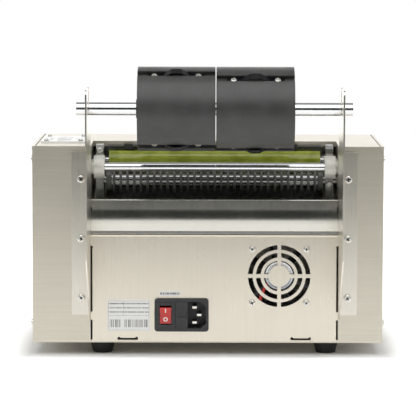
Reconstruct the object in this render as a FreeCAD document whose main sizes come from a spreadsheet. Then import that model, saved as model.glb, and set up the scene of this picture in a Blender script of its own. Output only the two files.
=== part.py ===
"""Bench-top roll-fed sheeter: two core drums on a lift-out shaft feed webs over a guide rod and
between two rollers to a guillotine at the front. Millimetres, +Z up, +Y towards the outlet, and
the origin on the ground under the middle of the whole machine."""
import FreeCAD, Part
import math
import operator
import os
import Sketcher

SIZES = {
    # case
    "case_width": 323, "case_top": 194, "body_depth": 150, "foot_height": 12,
    "cover_thick": 2.5, "sheet": 1.2, "base_sheet": 1.5, "cover_lip": 12,
    "mech_shift": 6.2, "bay_half": 114.3, "bay_depth": 64, "strip_flange": 5,
    # rear panel
    "panel_top": 113, "hem_radius": 1.7, "hem_proud": 1.5, "slit_width": 1.8,
    "slit_low": 40.6, "slit_high": 100.7, "foot_slit_low": 14.5, "foot_slit_high": 33,
    "tab_spacing": 159.9, "tab_width": 18.7, "tab_low": 14.4, "tab_high": 16.2,
    "tab_relief": 1.1,
    # fan and its grille
    "fan_across": 66, "fan_up": 74.2, "fan_square": 60, "fan_depth": 15, "fan_pitch": 50,
    "fan_corner": 4, "fan_throat": 28.8, "fan_hub": 14, "fan_base": 2.5, "fan_strut": 3,
    "fan_struts": 3, "fan_strut_drop": 2, "fan_pin": 1.5, "blade_count": 7, "blade_tip_gap": 1,
    "blade_thick": 1.1, "blade_skew": 3.5, "rotor_cup": 10,
    "grille_first": 9.9, "grille_pitch": 7.3, "grille_slot": 4.3, "grille_spoke": 3.5,
    # power inlet
    "inlet_across": -24, "inlet_up": 37.9, "inlet_width": 50, "inlet_height": 30.7,
    "inlet_corner": 3, "inlet_flange": 2.5, "cut_width": 47, "cut_height": 27.5,
    "inlet_depth": 22, "inlet_fit": 0.3, "switch_shift": -14.8, "switch_width": 15.7,
    "switch_height": 22.4, "switch_bezel": 1, "rocker_width": 10.7, "rocker_reach": 7.7,
    "rocker_swing": 8.9, "rocker_pivot": 2, "rocker_dish": 1.2, "rocker_tilt": 8,
    "rocker_depth": 11, "rocker_heart": 3.6, "rocker_pin": 1.2, "rocker_pin_out": 1,
    "drawer_wall": 1.5, "drawer_floor": 2, "drawer_pull": 1, "pull_high": 4,
    "drawer_shift": -0.35, "drawer_width": 10.3, "drawer_height": 25,
    "drawer_depth": 14, "socket_shift": 14.1, "socket_width": 17, "socket_height": 25,
    "socket_chamfer": 5, "socket_depth": 16.5, "pin_wide": 4, "pin_thick": 2, "pin_length": 15,
    "pin_pitch": 14, "pin_line": -2.1, "pin_earth": 2.1,
    # chute
    "deck_up": 144.8, "chute_fall": 3.2, "chute_knee": 128.5, "chute_lip": 116,
    "lip_proud": 2.5, "chute_bend": 32, "deck_bend": 0.3, "deck_gap": 0.3, "deck_end": 147,
    "deck_flange": 14, "relief_width": 1.2, "relief_low": 132, "relief_high": 138,
    # roll brackets
    "web_half": 114, "bracket_sheet": 1.5, "bracket_flange": 17.5, "flange_low": 38,
    "flange_high": 189, "bracket_reach": 75, "web_foot": 33.5, "web_knee": 97,
    "web_top": 249.6, "web_corner": 5, "bracket_screw": 122.7, "screw_low": 53.8,
    "screw_pitch": 55, "slot_clear": 0.1, "mouth_flare": 3,
    # roll shaft and core drums
    "shaft_back": 35, "shaft_up": 230.7, "shaft_radius": 6, "shaft_half": 125,
    "groove_radius": 5, "groove_slack": 0.4, "shaft_chamfer": 0.6, "run_fit": 0.05,
    "drum_radius": 38, "drum_length": 70, "drum_gap": 0.9, "drum_shift": 0.85, "drum_edge": 0.8,
    "sleeve_radius": 7.5, "sleeve_flange": 8.5, "sleeve_rim": 1.5, "keyway": 7.5,
    "keyway_deep": 4, "leaf_width": 6.5, "leaf_thick": 0.6, "leaf_half": 26, "leaf_foot": 15,
    "leaf_crown": 4, "leaf_proud": 2.7, "leaf_bend": 5, "leaf_screw": 19.7, "leaf_angle_left": 60,
    "leaf_angle_right": 50,
    # guide rod
    "rod_ahead": 27, "rod_up": 172.6, "rod_radius": 4, "hub_radius": 10.5, "hub_near": 102.2,
    "hub_far": 112, "hub_spigot": 7, "rod_seat": 5,
    # frame plates and rollers
    "plate_near": 103.6, "plate_thick": 7, "plate_back": 38, "plate_front": 116,
    "plate_top": 192, "plate_corner": 3, "step_gap": 0.5, "feed_ahead": 46, "feed_up": 158.7,
    "axle_radius": 4, "disc_radius": 11.6, "disc_thick": 2.1, "disc_pitch": 6.26,
    "disc_count": 31, "spacer_radius": 6.5, "collar_radius": 10, "collar_thick": 5,
    "collar_gap": 1.4, "pinch_ahead": 10.2, "pinch_radius": 8.8, "pinch_half": 99, "nip_gap": 0.3,
    "pinch_axle": 3, "plate_screw_left": 187, "plate_screw_right": 156,
    # gears, in the right-hand box
    "gear_module": 0.9, "feed_teeth": 26, "pinch_teeth": 20, "motor_teeth": 13,
    "gear_near": 118.3, "gear_width": 6, "tooth_share": 0.4, "addendum": 0.8, "dedendum": 1.2,
    "tooth_lean": 0.3, "axle_past": 1, "bore_margin": 1.5, "motor_square": 42.3,
    "motor_depth": 24, "motor_gap": 3, "motor_shaft": 2.5, "motor_boss": 11,
    "motor_boss_rise": 1.5, "pillar_pitch": 31, "pillar_radius": 2.5,
    # sheet guides
    "wire_radius": 1.25, "wire_ahead": 61, "wire_up": 188.8, "wire_leg": 7, "wire_bend": 4,
    "guide_left": 81.2, "guide_right": 73.8, "guide_width": 8, "guide_back": 58.5, "guide_front": 72,
    "guide_eye": 5, "guide_arm": 2.3, "guide_toe": 5.5, "guide_clear": 0.3,
    "table_up": 165, "table_back": 66.2, 
    # guillotine
    "fixed_thick": 3, "blade_gap": 0.3, "moving_thick": 2, "moving_edge": 172,
    "moving_lean": 3, "carriage_low": 176, "carriage_high": 189, "carriage_deep": 12,
    "carriage_end": 1, "post_out": 105, "post_radius": 3, "post_top": 192.5, "arm_reach": 26.5,
    "arm_low": 178, "arm_high": 184, "arm_deep": 8, "stroke": 10, "plunger_radius": 5,
    "plunger_low": 120, "coil_square": 30, "coil_low": 105, "coil_high": 150,
    # front
    "slot_half": 106, "slot_low": 158, "slot_high": 176, "lip_half": 104, "lip_reach": 20,
    "lip_drop": 6, "lip_root": 156, "lip_tab": 14,
    # electrics
    "supply_left": -68, "supply_back": 42, "supply_width": 150, "supply_deep": 90,
    "supply_high": 38, "vent_count": 10, "vent_inset": 20, "vent_wide": 4, "vent_pitch": 12,
    "vent_deep": 1, "board_back": 24, "board_deep": 76, "board_low": 30, "board_high": 84,
    "board_thick": 1.6, "board_stand": 4, "board_post": 3, "chip_side": 14, "chip_high": 3,
    # key panel
    "keys_across": -135, "keys_ahead": 70, "keys_width": 42, "keys_deep": 68,
    "keys_thick": 1.5, "keys_screw_x": 32, "keys_screw_y": 56, "key_width": 12,
    "key_deep": 9, "key_spacing": 14, "key_high": 3, "key_proud": 1.8, "key_rim": 1,
    "key_fit": 0.15, "key_offset": 8, "well_width": 24, "well_deep": 42, "window_deep": 16,
    "window_sink": 0.5,
    # feet and screws
    "foot_out": 104.15, "foot_back": 24, "foot_front": 126, "foot_top": 12, "foot_bottom": 9,
    "foot_recess": 5, "foot_recess_deep": 6, "big_head": 3.5, "big_rise": 2.6, "big_shank": 2,
    "big_length": 8, "small_head": 2.75, "small_rise": 2, "small_shank": 1.5,
    "small_length": 3.8, "fan_head": 2.95, "fan_rise": 2.2, "fan_shank": 2, "fan_length": 10,
    "head_round": 0.45, "cross_share": 0.62, "cross_bar": 0.2, "cross_deep": 0.5,
    "screw_clear": 0.15, "cover_screw_low": 30, "cover_screw_high": 182,
    # fan leads
    "lead_radius": 0.6, "lead_ahead": 2.6, "lead_pitch": 1.5, "notch_wide": 5.6,
    "notch_deep": 3, "notch_left": 16.8, "notch_start": 20,
}

doc = FreeCAD.newDocument("sheeter")
sheet = doc.addObject("Spreadsheet::Sheet", "Sizes")
for row, (name, value) in enumerate(SIZES.items(), 1):
    sheet.set("A%d" % row, name)
    sheet.set("B%d" % row, str(value))
    sheet.setAlias("B%d" % row, name)
doc.recompute()

CHIP_SPOTS = ((12, 14), (12, 50), (46, 30))
OPERATIONS = {"+": operator.add, "-": operator.sub, "*": operator.mul, "/": operator.truediv}
NODES = []


class Size:
    """A length that carries both its number and the sheet formula that gives it."""

    def __init__(self, number, text):
        self.number = number
        self.text = text

    def __add__(self, other):
        return worked_out(self, "+", other)

    def __radd__(self, other):
        return worked_out(other, "+", self)

    def __sub__(self, other):
        return worked_out(self, "-", other)

    def __rsub__(self, other):
        return worked_out(other, "-", self)

    def __mul__(self, other):
        return worked_out(self, "*", other)

    def __rmul__(self, other):
        return worked_out(other, "*", self)

    def __truediv__(self, other):
        return worked_out(self, "/", other)

    def __neg__(self):
        return worked_out(0, "-", self)


def as_size(value):
    return value if isinstance(value, Size) else Size(value, "(%.9g)" % value)


def worked_out(one, sign, other):
    one = as_size(one)
    other = as_size(other)
    number = OPERATIONS[sign](one.number, other.number)
    return Size(number, "(%s %s %s)" % (one.text, sign, other.text))


def square_root(value):
    return Size(math.sqrt(value.number), "sqrt(%s)" % value.text)


class Sheet:
    """The sheet's cells by name."""

    def __getattr__(self, cell):
        return Size(SIZES[cell], "Sizes." + cell)


mm = Sheet()

# the world's directions, and the turns that lay a piece's own +Z along another one
X = FreeCAD.Vector(1, 0, 0)
Y = FreeCAD.Vector(0, 1, 0)
Z = FreeCAD.Vector(0, 0, 1)
UPRIGHT = FreeCAD.Rotation()
TO_RIGHT = FreeCAD.Rotation(Y, 90)
TO_LEFT = FreeCAD.Rotation(Y, -90)
TO_FRONT = FreeCAD.Rotation(X, -90)
TO_BACK = FreeCAD.Rotation(X, 90)
TO_GROUND = FreeCAD.Rotation(X, 180)
# the fan strut that carries the leads, about the fan's own axis
STRUT_ANGLE = 142

# The rear panel's face stands here, so that the whole machine is centred front to back.
REAR = (mm.bracket_reach - mm.body_depth - mm.lip_reach) / 2
INNER_HALF = mm.case_width / 2 - mm.cover_thick
FLOOR = mm.foot_height + mm.base_sheet
NIP = mm.disc_radius + mm.pinch_radius + mm.nip_gap
PINCH_Y = mm.feed_ahead + mm.pinch_ahead
PINCH_Z = mm.feed_up + square_root(NIP * NIP - mm.pinch_ahead * mm.pinch_ahead)
GEAR_SPAN = (mm.feed_teeth + mm.motor_teeth) * mm.gear_module / 2
MOTOR_Z = mm.feed_up - GEAR_SPAN


def bind(item, path, value):
    item.setExpression(path, as_size(value).text)


def put(item, x=0, y=0, z=0, turn=UPRIGHT):
    """Places an item, measured from the rear panel's face, and turns it."""
    item.Placement = FreeCAD.Placement(FreeCAD.Vector(), turn)
    bind(item, "Placement.Base.x", x)
    bind(item, "Placement.Base.y", y)
    bind(item, "Placement.Base.z", z)
    return item


def finish(label, item, x=0, y=0, z=0, turn=UPRIGHT):
    """Makes an item a named sub-part in its place."""
    put(item, x, REAR + y, z, turn)
    item.Label = label
    NODES.append(item)
    return item


# Part primitives and booleans

def block(x, y, z):
    box = doc.addObject("Part::Box", "Box")
    for path, (low, high) in zip(("Length", "Width", "Height"), (x, y, z)):
        bind(box, path, high - low)
    return put(box, x[0], y[0], z[0])


def cylinder(turn, radius, length, x, y, z):
    item = doc.addObject("Part::Cylinder", "Cylinder")
    bind(item, "Radius", radius)
    bind(item, "Height", length)
    return put(item, x, y, z, turn)


def across(radius, x, y, z):
    """A cylinder along X between the two values of x."""
    return cylinder(TO_RIGHT, radius, x[1] - x[0], x[0], y, z)


def along(radius, x, y, z):
    """A cylinder along Y between the two values of y."""
    return cylinder(TO_FRONT, radius, y[1] - y[0], x, y[0], z)


def upright(radius, x, y, z):
    """A cylinder along Z between the two values of z."""
    return cylinder(UPRIGHT, radius, z[1] - z[0], x, y, z[0])


def fuse(*items):
    if len(items) == 1:
        return items[0]
    item = doc.addObject("Part::MultiFuse", "Fusion")
    item.Shapes = list(items)
    return item


def cut(base, *tools):
    item = doc.addObject("Part::Cut", "Cut")
    item.Base = base
    item.Tool = fuse(*tools)
    return item


def group(*items):
    item = doc.addObject("Part::Compound", "Group")
    item.Links = list(items)
    return item


def copy(item, x, y, z, turn=UPRIGHT):
    link = doc.addObject("App::Link", "Copy")
    link.LinkedObject = item
    return put(link, x, y, z, turn)


# PartDesign bodies

def new_body():
    return doc.addObject("PartDesign::Body", "Body")


def datum(body, role):
    return next(item for item in body.Origin.OriginFeatures if item.Role == role)


def sketch(body, plane, level=0):
    """An empty sketch on one of the body's origin planes, level along that plane's world axis."""
    item = body.newObject("Sketcher::SketchObject", "Sketch")
    item.AttachmentSupport = [(datum(body, plane + "_Plane"), "")]
    item.MapMode = "FlatFace"
    bind(item, "AttachmentOffset.Base.z", -as_size(level) if plane == "XZ" else level)
    return item


def pin_down(item, kind, *rest):
    """Adds one constraint whose last value comes from the sheet."""
    value = as_size(rest[-1])
    number = item.addConstraint(Sketcher.Constraint(kind, *rest[:-1], value.number))
    item.setExpression("Constraints[%d]" % number, value.text)


def polygon(item, points):
    """A closed outline through the points."""
    points = [(as_size(u), as_size(v)) for u, v in points]
    corners = [FreeCAD.Vector(u.number, v.number, 0) for u, v in points]
    start = item.GeometryCount
    for here, there in zip(corners, corners[1:] + corners[:1]):
        item.addGeometry(Part.LineSegment(here, there))
    for k, (u, v) in enumerate(points):
        before = start + (k - 1) % len(points)
        item.addConstraint(Sketcher.Constraint("Coincident", before, 2, start + k, 1))
        pin_down(item, "DistanceX", -1, 1, start + k, 1, u)
        pin_down(item, "DistanceY", -1, 1, start + k, 1, v)
    return item


def rectangle(item, u, v):
    return polygon(item, [(u[0], v[0]), (u[1], v[0]), (u[1], v[1]), (u[0], v[1])])


def circle(item, u, v, radius):
    u, v, radius = as_size(u), as_size(v), as_size(radius)
    middle = FreeCAD.Vector(u.number, v.number, 0)
    number = item.addGeometry(Part.Circle(middle, FreeCAD.Vector(0, 0, 1), radius.number))
    pin_down(item, "Radius", number, radius)
    pin_down(item, "DistanceX", -1, 1, number, 3, u)
    pin_down(item, "DistanceY", -1, 1, number, 3, v)
    return item


def pad(body, profile, length, flip=False):
    """Grows material from a sketch along +Z, +X or -Y, or the other way with flip."""
    item = body.newObject("PartDesign::Pad", "Pad")
    item.Profile = profile
    item.Reversed = flip
    bind(item, "Length", length)
    return item


def pocket(body, profile, length, flip=False):
    """Cuts material from a sketch along -Z, -X or +Y, or the other way with flip."""
    doc.recompute()
    before = body.Shape.Volume
    item = body.newObject("PartDesign::Pocket", "Pocket")
    item.Profile = profile
    item.Reversed = flip
    bind(item, "Length", length)
    doc.recompute()
    if body.Shape.Volume >= before:
        raise RuntimeError("a pocket cuts nothing")
    return item


def polar(body, feature, count):
    item = body.newObject("PartDesign::PolarPattern", "Ring")
    item.Originals = [feature]
    item.Axis = (datum(body, "Z_Axis"), [""])
    item.Angle = 360
    bind(item, "Occurrences", count)
    body.Tip = item
    return item


def edges_along(shape, direction, spots):
    """The names of the straight edges that run along direction through the given points."""
    names = []
    for number, edge in enumerate(shape.Edges, 1):
        ends = [vertex.Point for vertex in edge.Vertexes]
        if len(ends) != 2 or edge.Curve.TypeId != "Part::GeomLine":
            continue
        line = ends[1] - ends[0]
        if line.cross(direction).Length > 1e-6 * line.Length:
            continue
        for spot in spots:
            away = ends[0] - spot
            if (away - direction * away.dot(direction)).Length < 1e-3:
                names.append("Edge%d" % number)
    return names


def dress(body, kind, names, size):
    """A PartDesign Fillet or Chamfer on the named edges of the body's last feature."""
    base = body.Tip
    item = body.newObject("PartDesign::" + kind, kind)
    item.Base = (base, names)
    bind(item, "Radius" if kind == "Fillet" else "Size", size)
    return item


def round_corners(body, direction, spots, radius, kind="Fillet"):
    doc.recompute()
    spots = [FreeCAD.Vector(*(as_size(value).number for value in spot)) for spot in spots]
    names = edges_along(body.Tip.Shape, direction, spots)
    if not names:
        raise RuntimeError("no edge to round")
    return dress(body, kind, names, radius)


def round_rims(body, radius, least):
    """Rounds every circular edge of at least the given radius."""
    doc.recompute()
    edges = enumerate(body.Tip.Shape.Edges, 1)
    round_edges = [
        "Edge%d" % number for number, edge in edges
        if edge.Curve.TypeId == "Part::GeomCircle" and edge.Curve.Radius > least.number
    ]
    return dress(body, "Fillet", round_edges, radius)


def side_span(side, near, far):
    """The two X values of something between two distances from the mechanism's middle."""
    ends = (mm.mech_shift + side * near, mm.mech_shift + side * far)
    return ends if side > 0 else ends[::-1]


def side_x(side, distance):
    return mm.mech_shift + side * distance


# Case

def base_plate():
    """The floor of the case, drilled for the foot screws."""
    plate = block((-INNER_HALF, INNER_HALF), (0, mm.body_depth), (mm.foot_height, FLOOR))
    holes = [
        upright(mm.big_shank + mm.screw_clear, side_x(side, mm.foot_out), y, (mm.foot_height, FLOOR))
        for side in (-1, 1) for y in (mm.foot_back, mm.foot_front)
    ]
    finish("base_plate", cut(plate, *holes))


def feet():
    for_screws = []
    for side in (-1, 1):
        for y in (mm.foot_back, mm.foot_front):
            cone = doc.addObject("Part::Cone", "Cone")
            bind(cone, "Radius1", mm.foot_bottom)
            bind(cone, "Radius2", mm.foot_top)
            bind(cone, "Height", mm.foot_height)
            put(cone, side_x(side, mm.foot_out), y, 0)
            hole = upright(mm.big_shank + mm.screw_clear, side_x(side, mm.foot_out), y,
                           (0, mm.foot_height))
            recess = upright(mm.foot_recess, side_x(side, mm.foot_out), y,
                             (0, mm.foot_recess_deep))
            for_screws.append(cut(cone, hole, recess))
    finish("feet", group(*for_screws))


def housing_span(side):
    if side < 0:
        return -INNER_HALF, side_x(side, mm.bay_half)
    return side_x(side, mm.bay_half), INNER_HALF


def cover_screw_spots():
    for y in (mm.cover_lip / 2 + mm.sheet / 2, mm.body_depth - mm.cover_lip / 2 - mm.sheet / 2):
        for z in (mm.cover_screw_low, mm.cover_screw_high):
            yield y, z


def housing(label, side):
    """A folded box with a lipped open side, which the side cover closes."""
    low, high = housing_span(side)
    outer = block((low, high), (0, mm.body_depth), (FLOOR, mm.case_top))
    wall = mm.sheet
    lip = mm.sheet + mm.cover_lip
    if side < 0:
        inside, mouth = (low + wall, high - wall), (low, low + wall)
    else:
        inside, mouth = (low + wall, high - wall), (high - wall, high)
    tools = [
        block(inside, (wall, mm.body_depth - wall), (FLOOR, mm.case_top - wall)),
        block(mouth, (lip, mm.body_depth - lip), (FLOOR, mm.case_top - lip)),
    ]
    for y, z in cover_screw_spots():
        tools.append(across(mm.small_shank + mm.screw_clear, mouth, y, z))
    for number in range(3):
        z = mm.screw_low + number * mm.screw_pitch
        tools.append(along(mm.big_shank + mm.screw_clear, side_x(side, mm.bracket_screw),
                           (0, wall), z))
    bay_wall = side_span(side, mm.bay_half, mm.bay_half + wall)
    tools += left_cuts(bay_wall) if side < 0 else right_cuts(bay_wall)
    finish(label, cut(outer, *tools))


def left_cuts(bay_wall):
    """The slot of the guillotine's arm, and the key panel's well and screw holes."""
    middle = post_ahead()
    arm = block(bay_wall, (middle - mm.arm_deep / 2 - 1, middle + mm.arm_deep / 2 + 1),
                (mm.arm_low - mm.stroke - 1, mm.arm_high + 1))
    half = mm.well_width / 2
    well = block((mm.keys_across - half, mm.keys_across + half),
                 (mm.keys_ahead - mm.well_deep / 2, mm.keys_ahead + mm.well_deep / 2),
                 (mm.case_top - mm.sheet, mm.case_top))
    holes = [
        upright(mm.small_shank + mm.screw_clear, x, y, (mm.case_top - mm.sheet, mm.case_top))
        for x, y in key_screw_spots()
    ]
    return [arm, well] + holes


def right_cuts(bay_wall):
    """The clearance holes of the two roller axles."""
    return [
        across(mm.axle_radius + mm.bore_margin, bay_wall, mm.feed_ahead, mm.feed_up),
        across(mm.pinch_axle + mm.bore_margin, bay_wall, PINCH_Y, PINCH_Z),
    ]


def side_cover(label, side):
    outside = mm.case_width / 2
    x = (INNER_HALF, outside) if side > 0 else (-outside, -INNER_HALF)
    plate = block(x, (0, mm.body_depth), (mm.foot_height, mm.case_top))
    holes = [across(mm.small_shank + mm.screw_clear, x, y, z) for y, z in cover_screw_spots()]
    finish(label, cut(plate, *holes))


def top_cover():
    """The strip over the guillotine, with a narrow flange along the bay."""
    x = (side_x(-1, mm.bay_half), side_x(1, mm.bay_half))
    top = block(x, (mm.bay_depth, mm.body_depth), (mm.case_top - mm.sheet, mm.case_top))
    flange = block(x, (mm.bay_depth, mm.bay_depth + mm.sheet),
                   (mm.case_top - mm.strip_flange, mm.case_top))
    finish("top_cover", fuse(top, flange))


def front_panel():
    x = (side_x(-1, mm.bay_half), side_x(1, mm.bay_half))
    y = (mm.body_depth - mm.sheet, mm.body_depth)
    plate = block(x, y, (FLOOR, mm.case_top - mm.sheet))
    slot = block((side_x(-1, mm.slot_half), side_x(1, mm.slot_half)), y, (mm.slot_low, mm.slot_high))
    finish("front_panel", cut(plate, slot))


def exit_lip():
    """A bent strip under the outlet: its tab lies on the front panel, its lip leads out."""
    body = new_body()
    face = mm.body_depth
    slope = mm.lip_drop / mm.lip_reach
    profile = polygon(sketch(body, "YZ"), [
        (face, mm.lip_root), (face, mm.lip_root - mm.lip_tab),
        (face + mm.sheet, mm.lip_root - mm.lip_tab),
        (face + mm.sheet, mm.lip_root - mm.sheet - slope * mm.sheet),
        (face + mm.lip_reach, mm.lip_root - mm.lip_drop - mm.sheet),
        (face + mm.lip_reach, mm.lip_root - mm.lip_drop),
    ])
    pad(body, profile, 2 * mm.lip_half)
    finish("exit_lip", body, x=side_x(-1, mm.lip_half))


def chute():
    """The deck under the rollers, falling at the back to a lip over the rear panel."""
    body = new_body()
    half = mm.bay_half - mm.deck_gap
    thick = mm.sheet
    run = mm.chute_fall + mm.lip_proud
    rise = mm.chute_knee - mm.chute_lip
    slant = square_root(1 + (rise / run) * (rise / run)) * thick
    under_knee = mm.chute_knee + thick * rise / run - slant
    profile = polygon(sketch(body, "YZ"), [
        (mm.deck_end, mm.deck_up), (mm.chute_fall, mm.deck_up),
        (mm.chute_fall, mm.chute_knee), (-mm.lip_proud, mm.chute_lip),
        (-mm.lip_proud, mm.chute_lip - slant), (mm.chute_fall + thick, under_knee),
        (mm.chute_fall + thick, mm.deck_up - thick), (mm.deck_end, mm.deck_up - thick),
    ])
    pad(body, profile, 2 * half)
    for spot, radius in (
        ((0, mm.chute_fall, mm.chute_knee), mm.chute_bend),
        ((0, mm.chute_fall + thick, under_knee), mm.chute_bend - thick),
        ((0, mm.chute_fall, mm.deck_up), mm.deck_bend + thick),
        ((0, mm.chute_fall + thick, mm.deck_up - thick), mm.deck_bend),
    ):
        round_corners(body, X, [spot], radius)
    for end in (0, 2 * half - thick):
        flange = rectangle(sketch(body, "YZ", end), (mm.bay_depth, mm.deck_end),
                           (mm.deck_up - mm.deck_flange, mm.deck_up))
        pad(body, flange, thick)
    relief = sketch(body, "XZ", mm.chute_fall - 1)
    rectangle(relief, (0, mm.relief_width), (mm.relief_low, mm.relief_high))
    rectangle(relief, (2 * half - mm.relief_width, 2 * half), (mm.relief_low, mm.relief_high))
    pocket(body, relief, 2 * thick + 1)
    finish("chute", body, x=side_x(-1, half))


# Rear panel

def grille_slots(y):
    """Three rings of slots parted by a cross of spokes."""
    rings = []
    for number in range(3):
        inner = mm.grille_first + number * mm.grille_pitch
        rings.append(cut(along(inner + mm.grille_slot, mm.fan_across, y, mm.fan_up),
                         along(inner, mm.fan_across, y, mm.fan_up)))
    half = mm.grille_spoke / 2
    reach = mm.fan_square
    spokes = (
        block((mm.fan_across - half, mm.fan_across + half), y, (mm.fan_up - reach, mm.fan_up + reach)),
        block((mm.fan_across - reach, mm.fan_across + reach), y, (mm.fan_up - half, mm.fan_up + half)),
    )
    return cut(fuse(*rings), *spokes)


def fan_screw_spots():
    half = mm.fan_pitch / 2
    for x in (mm.fan_across - half, mm.fan_across + half):
        for z in (mm.fan_up - half, mm.fan_up + half):
            yield x, z


def tab_slot(x, y, z):
    """A slot along X for a bent-up tab, with a round relief above each end."""
    radius = mm.tab_relief
    return fuse(block(x, y, z), along(radius, x[0] + radius, y, z[1]),
                along(radius, x[1] - radius, y, z[1]))


def rear_panel():
    """The sheet between the boxes: fan grille, inlet cut-out, relief slits and a rolled hem."""
    y = (0, mm.sheet)
    left, right = side_x(-1, mm.bay_half), side_x(1, mm.bay_half)
    plate = block((left, right), y, (FLOOR, mm.panel_top))
    hem_half = mm.web_half - mm.deck_gap
    hem = across(mm.hem_radius, side_span(1, -hem_half, hem_half), mm.hem_radius - mm.hem_proud,
                 mm.panel_top - mm.hem_radius / 2)
    cuts = [grille_slots(y)]
    for x in ((left, left + mm.slit_width), (right - mm.slit_width, right)):
        cuts.append(block(x, y, (mm.slit_low, mm.slit_high)))
        cuts.append(along(mm.slit_width * 0.75, (x[0] + x[1]) / 2, y, mm.slit_high))
        cuts.append(block(x, y, (mm.foot_slit_low, mm.foot_slit_high)))
    cuts.append(block((mm.inlet_across - mm.cut_width / 2, mm.inlet_across + mm.cut_width / 2), y,
                      (mm.inlet_up - mm.cut_height / 2, mm.inlet_up + mm.cut_height / 2)))
    for side in (-1, 1):
        middle = side_x(side, mm.tab_spacing / 2)
        cuts.append(tab_slot((middle - mm.tab_width / 2, middle + mm.tab_width / 2), y,
                             (mm.tab_low, mm.tab_high)))
    for x, z in fan_screw_spots():
        cuts.append(along(mm.fan_shank + mm.screw_clear, x, y, z))
    finish("rear_panel", cut(fuse(plate, hem), *cuts))


# Fan: each body's own axis is Z, turned to face the rear panel

def fan_frame():
    """The square frame, with the motor's base on three struts behind the grille."""
    body = new_body()
    half = mm.fan_square / 2
    frame = sketch(body, "XY")
    rectangle(frame, (-half, half), (-half, half))
    circle(frame, 0, 0, mm.fan_throat)
    pad(body, frame, mm.fan_depth)
    corners = [(x, y, 0) for x in (-half, half) for y in (-half, half)]
    round_corners(body, Z, corners, mm.fan_corner)
    base = sketch(body, "XY", mm.fan_strut_drop)
    circle(base, 0, 0, mm.fan_hub)
    circle(base, 0, 0, mm.fan_pin + mm.run_fit)
    pad(body, base, mm.fan_base)
    near, far, side = mm.fan_hub - 1, mm.fan_throat + 1, mm.fan_strut / 2
    corners = [(near, -side), (far, -side), (far, side), (near, side)]
    strut = polygon(sketch(body, "XY", mm.fan_strut_drop), [
        turned(u, v, STRUT_ANGLE) for u, v in corners
    ])
    arm = pad(body, strut, mm.fan_base)
    polar(body, arm, mm.fan_struts)
    screws = sketch(body, "XY", mm.fan_depth)
    for u in (-mm.fan_pitch / 2, mm.fan_pitch / 2):
        for v in (-mm.fan_pitch / 2, mm.fan_pitch / 2):
            circle(screws, u, v, mm.fan_shank + mm.screw_clear)
    pocket(body, screws, mm.fan_depth)
    notch = rectangle(sketch(body, "XY", mm.notch_deep),
                      (-mm.notch_left - mm.notch_wide, -mm.notch_left), (mm.notch_start, half))
    pocket(body, notch, mm.notch_deep)
    finish("fan_frame", body, mm.fan_across, mm.sheet, mm.fan_up, TO_FRONT)


def turned(u, v, degrees):
    """A point turned about the origin."""
    cosine, sine = math.cos(math.radians(degrees)), math.sin(math.radians(degrees))
    return u * cosine - v * sine, u * sine + v * cosine


def fan_rotor():
    body = new_body()
    start = mm.fan_strut_drop + mm.fan_base + 0.5
    cup = sketch(body, "XY", start)
    circle(cup, 0, 0, mm.fan_hub)
    pad(body, cup, mm.rotor_cup)
    spindle = circle(sketch(body, "XY", mm.fan_strut_drop), 0, 0, mm.fan_pin)
    pad(body, spindle, mm.fan_base + 1)
    low, high = start, start + mm.rotor_cup - 1
    skew = mm.blade_skew
    thick = mm.blade_thick
    profile = polygon(sketch(body, "YZ", mm.fan_hub - 1), [
        (-skew, low), (-skew + thick, low), (skew + thick, high), (skew, high),
    ])
    blade = pad(body, profile, mm.fan_throat - mm.blade_tip_gap - mm.fan_hub + 1)
    polar(body, blade, mm.blade_count)
    finish("fan_rotor", body, mm.fan_across, mm.sheet, mm.fan_up, TO_FRONT)


def fan_leads():
    """Two wires from the motor's base over a strut, out by the notch and to the supply."""
    middle = FreeCAD.Vector(mm.fan_across.number, 0, mm.fan_up.number)
    flat, end = mm.lead_ahead.number, mm.supply_back.number
    route = [
        middle + FreeCAD.Vector(*step) for step in (
            (-11.5, flat, -7.5), (-14.2, flat, -13.2), (-17.5, flat, -21.5), (-20, flat, -31),
            (-21, flat + 5.5, -37.5), (-21, flat + 21.5, -39), (-21, end, -38),
        )
    ]
    leads = []
    for half in (-0.5, 0.5):
        shift = X * half * mm.lead_pitch.number
        leads.append(tube([point + shift for point in route], mm.lead_radius.number))
    item = doc.addObject("Part::Feature", "Leads")
    item.Shape = Part.makeCompound(leads)
    finish("fan_leads", item)


def tube(points, radius):
    """A round wire along straight runs joined by arcs as large as the runs allow."""
    edges = []
    start = points[0]
    for before, here, after in zip(points, points[1:], points[2:]):
        back, ahead = (before - here), (after - here)
        shorter = min(back.Length, ahead.Length) * 0.45
        back.normalize()
        ahead.normalize()
        turn = math.pi - back.getAngle(ahead)
        bend = shorter / math.tan(turn / 2)
        leave, meet = here + back * shorter, here + ahead * shorter
        middle = (back + ahead).normalize()
        crest = here + middle * (math.hypot(bend, shorter) - bend)
        edges.append(Part.LineSegment(start, leave).toShape())
        edges.append(Part.Arc(leave, crest, meet).toShape())
        start = meet
        print("lead bend radius %.1f" % bend)
    edges.append(Part.LineSegment(start, points[-1]).toShape())
    path = Part.Wire(edges)
    ring = Part.Wire(Part.Circle(points[0], points[1] - points[0], radius).toShape())
    solid = path.makePipeShell([ring], True, True)
    print("lead volume over section times length %.4f"
          % (solid.Volume / (math.pi * radius ** 2 * path.Length)))
    return solid


# Power inlet

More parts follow.
